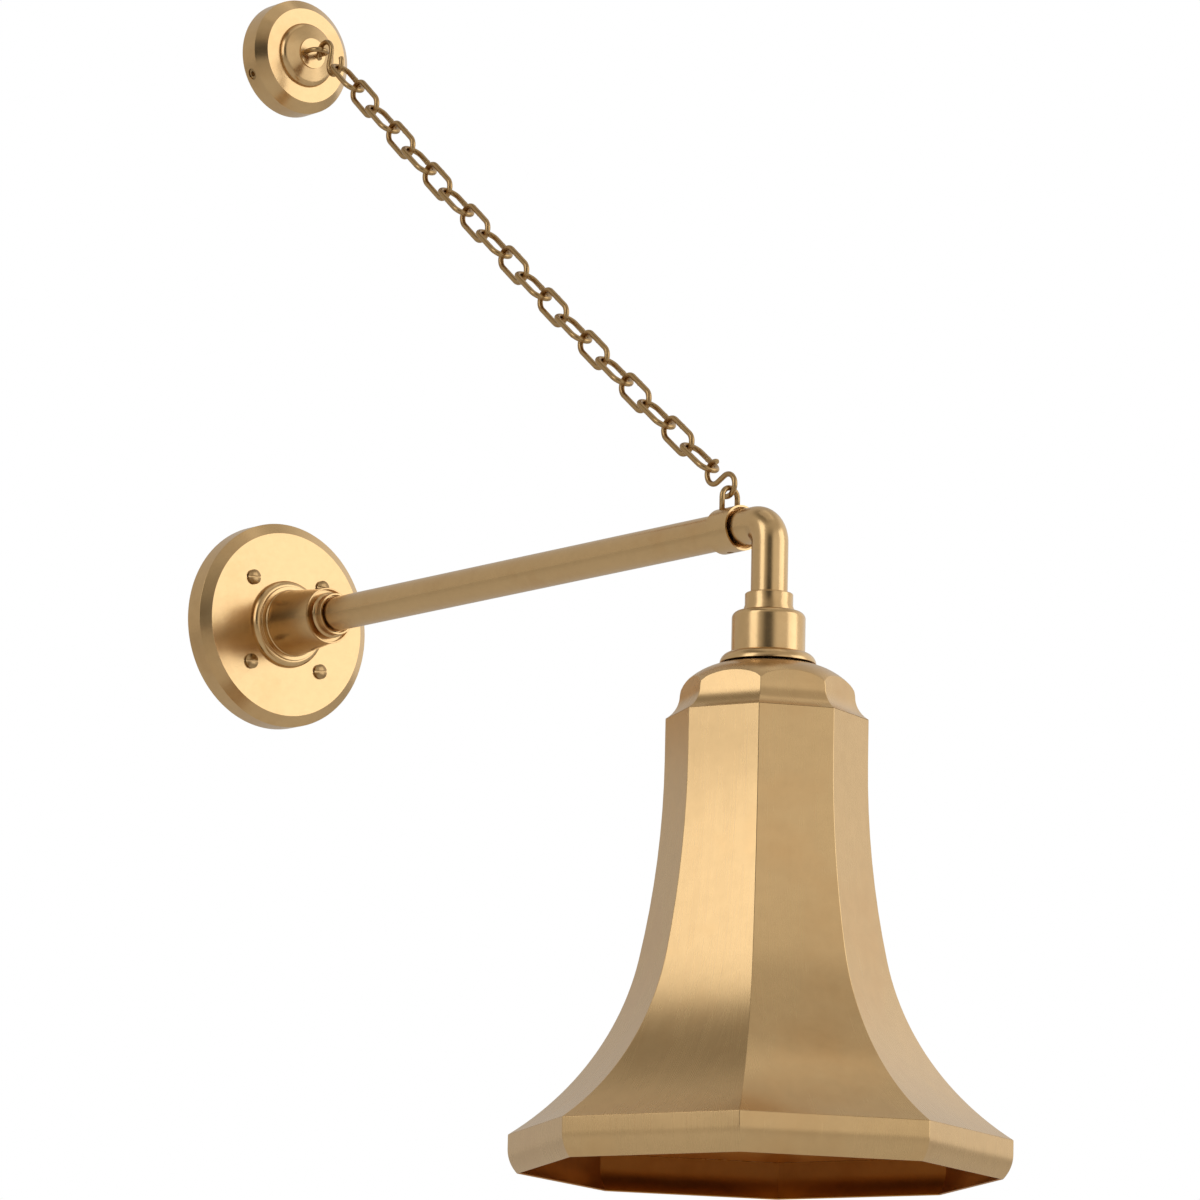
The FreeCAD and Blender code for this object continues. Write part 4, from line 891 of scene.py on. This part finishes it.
collar_surface = math.sqrt(COLLAR_RADIUS**2 - STAPLE_HALF**2)
collar_foot = collar_surface - STAPLE_SUNK
staple_piece("collar_staple_bent", "chain_loop", Vector((0, 0, 1)), collar_foot,
             COLLAR_LOOP_RISE, Vector((0, -COLLAR_LOOP_AT, collar_foot)))
staple_piece("canopy_staple_bent", "canopy_loop", Vector((0, -1, 0)), CANOPY_LOOP_FOOT,
             CANOPY_LOOP_OUT, Vector((0, -CANOPY_LOOP_FOOT, CANOPY_HEIGHT)))

# ---------------------------------------------------------------------------------------------
# Canopy
# ---------------------------------------------------------------------------------------------

SCREW_TURN = math.radians(206.0)
SCREW_IN, SCREW_RISE = 39, 6.7
canopy = lathe(
    "canopy_turned",
    [(37.9, 0), (39.9, 0), (39.9, 14.0), (33.1, 20.0), (22.5, 20.0, 4.6), (18.9, 24.4),
     (10.6, 26.5), (10.6, 27.7), (0, 27.7), (0, 24.5), (8.6, 24.5), (16.9, 22.4), (20.5, 18.0),
     (32.1, 18.0), (37.9, 13.0)],
    antique, "wall_frame", ["canopy"], "antique_brass", outward(CANOPY_HEIGHT), steps=160,
    bevel=0.5, segments=3,
)
side_hole = (Matrix.Rotation(SCREW_TURN, 4, "Z")
             @ Matrix.Translation((SCREW_IN * MM, 0, SCREW_RISE * MM)))
drill(canopy, [side_hole @ Matrix.Rotation(math.pi / 2, 4, "Y")], radius=3.9, depth=6)

# ---------------------------------------------------------------------------------------------
# Pieces that stay as built: each gets its finish
# ---------------------------------------------------------------------------------------------

FINISHES = {
    "collar_set_screw": dark_bronze,
    "canopy_set_screw": dark_bronze,
    "mounting_bracket": zinc,
    "canopy_bracket": zinc,
    "lock_nut": plain_brass,
    "swivel_stem": plain_brass,
    "swivel_nut": plain_brass,
    "cup_nipple": plain_brass,
    "cup_nipple_nut": plain_brass,
    "lampholder_contact": plain_brass,
}
for node, material in FINISHES.items():
    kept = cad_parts[node]
    kept.data.materials.clear()
    kept.data.materials.append(material)

# ---------------------------------------------------------------------------------------------
# Studio
# ---------------------------------------------------------------------------------------------


def background_share(tree, shares):
    """How far each kind of ray sees the background's own flat colour, added up."""
    ray = tree.nodes.new("ShaderNodeLightPath")
    total = None
    for kind, share in shares.items():
        part = tree.nodes.new("ShaderNodeMath")
        part.operation = "MULTIPLY_ADD"
        part.inputs[1].default_value = share
        part.inputs[2].default_value = 0.0
        tree.links.new(ray.outputs[kind], part.inputs[0])
        if total:
            tree.links.new(total, part.inputs[2])
        total = part.outputs[0]
    return total


FLOOR_REACH, FLOOR_HEIGHT, FLOOR_GREY = 40.0, -1.0, 0.86
# Glossy rays get a small share only, and the studio's colours are lowered by as much. So the
# brass shows the studio and, in effect, not this white background. Nothing is see-through.
PALE_FLOOR = {"Is Camera Ray": 0.6, "Is Glossy Ray": 0.06, "Is Transmission Ray": 0.6}
WHITE_WORLD = {"Is Camera Ray": 1.0, "Is Glossy Ray": 0.06, "Is Transmission Ray": 1.0}
floor_mesh = bpy.data.meshes.new("floor")
floor_corners = [(-1, -1), (1, -1), (1, 1), (-1, 1)]
floor_mesh.from_pydata(
    [(x * FLOOR_REACH, y * FLOOR_REACH, FLOOR_HEIGHT) for x, y in floor_corners], [], [(0, 1, 2, 3)]
)
floor = bpy.data.objects.new("floor", floor_mesh)
bpy.context.scene.collection.objects.link(floor)
floor_look = Nodes("floor_paint")
floor_look.shader.inputs["Base Color"].default_value = (FLOOR_GREY, FLOOR_GREY, FLOOR_GREY, 1.0)
floor_look.shader.inputs["Roughness"].default_value = 0.9
pale = floor_look.add("ShaderNodeEmission")
lit_or_pale = floor_look.add("ShaderNodeMixShader")
floor_look.join(background_share(floor_look.tree, PALE_FLOOR), lit_or_pale.inputs[0])
floor_look.join(floor_look.shader.outputs[0], lit_or_pale.inputs[1])
floor_look.join(pale.outputs[0], lit_or_pale.inputs[2])
# From underneath the floor isn't there, so the shade can be looked into.
one_sided = floor_look.add("ShaderNodeMixShader")
floor_look.join(floor_look.add("ShaderNodeNewGeometry").outputs["Backfacing"], one_sided.inputs[0])
floor_look.join(lit_or_pale.outputs[0], one_sided.inputs[1])
floor_look.join(floor_look.add("ShaderNodeBsdfTransparent").outputs[0], one_sided.inputs[2])
floor_look.join(one_sided.outputs[0], floor_look.tree.nodes["Material Output"].inputs["Surface"])
floor_mesh.materials.append(floor_look.material)


def area_light(name, spot, aim, size, power, colour=(1.0, 1.0, 1.0)):
    """A rectangle of light at a spot, in metres, that looks at the aim."""
    lamp = bpy.data.lights.new(name, "AREA")
    lamp.shape = "RECTANGLE"
    lamp.size, lamp.size_y = size
    lamp.energy = power
    lamp.color = colour
    made = bpy.data.objects.new(name, lamp)
    bpy.context.scene.collection.objects.link(made)
    spot, aim = Vector(spot), Vector(aim)
    facing = (spot - aim).to_track_quat("Z", "Y").to_matrix().to_4x4()
    made.matrix_world = Matrix.Translation(spot) @ facing


AIM = (0.0, -0.3, 0.0)
area_light("key_right_front", (2.2, -3.0, 0.9), AIM, (2.2, 2.6), 22.5, (0.94, 0.985, 1.05))
area_light("fill_left", (-3.1, -0.6, 1.5), AIM, (1.6, 2.5), 18.0, (0.95, 0.985, 1.04))
area_light("top", (0.0, -0.6, 3.0), AIM, (2.0, 2.0), 4.5)


def direction(azimuth, elevation):
    """The unit vector that points this way, in degrees."""
    a, e = math.radians(azimuth), math.radians(elevation)
    return (math.cos(a) * math.cos(e), math.sin(a) * math.cos(e), math.sin(e))


# The studio that the metal reflects: an even warm grey, with a bright side and, next to the
# camera, a dark opening. Each row has a patch's azimuth and elevation, how far from its middle it
# is full and how far out it has faded, all in degrees, and its colour. Later rows lie on top.
GREY = (0.543, 0.519, 0.479)
PATCHES = [
    (354.0, 8.0, 22.0, 55.0, (0.947, 0.936, 0.915)),
    (240.0, 8.0, 12.0, 45.0, (0.255, 0.234, 0.202)),
    (270.0, 12.0, 10.0, 30.0, (0.872, 0.851, 0.809)),
    (176.0, 75.0, 10.0, 34.0, (0.17, 0.149, 0.117)),
    (228.0, 10.0, 7.0, 19.0, (0.0, 0.0, 0.0)),
]
world = bpy.data.worlds.new("studio")
bpy.context.scene.world = world
world.use_nodes = True
tree = world.node_tree
tree.nodes.clear()
output = tree.nodes.new("ShaderNodeOutputWorld")
looking = tree.nodes.new("ShaderNodeTexCoord").outputs["Generated"]
surroundings = tree.nodes.new("ShaderNodeRGB").outputs[0]
surroundings.default_value = (*GREY, 1.0)
for azimuth, elevation, inner, outer, colour in PATCHES:
    facing = tree.nodes.new("ShaderNodeVectorMath")
    facing.operation = "DOT_PRODUCT"
    facing.inputs[1].default_value = direction(azimuth, elevation)
    tree.links.new(looking, facing.inputs[0])
    edge = tree.nodes.new("ShaderNodeMapRange")
    edge.interpolation_type = "SMOOTHSTEP"
    edge.inputs["From Min"].default_value = math.cos(math.radians(outer))
    edge.inputs["From Max"].default_value = math.cos(math.radians(inner))
    tree.links.new(facing.outputs["Value"], edge.inputs["Value"])
    patch = tree.nodes.new("ShaderNodeMix")
    patch.data_type = "RGBA"
    patch.inputs[7].default_value = (*colour, 1.0)
    tree.links.new(edge.outputs["Result"], patch.inputs[0])
    tree.links.new(surroundings, patch.inputs[6])
    surroundings = patch.outputs[2]
studio = tree.nodes.new("ShaderNodeBackground")
tree.links.new(surroundings, studio.inputs["Color"])
white = tree.nodes.new("ShaderNodeBackground")
white.inputs["Color"].default_value = (1.0, 1.0, 1.0, 1.0)
seen = tree.nodes.new("ShaderNodeMixShader")
tree.links.new(background_share(tree, WHITE_WORLD), seen.inputs[0])
tree.links.new(studio.outputs[0], seen.inputs[1])
tree.links.new(white.outputs[0], seen.inputs[2])
tree.links.new(seen.outputs[0], output.inputs["Surface"])

bpy.context.scene.view_settings.view_transform = "Standard"
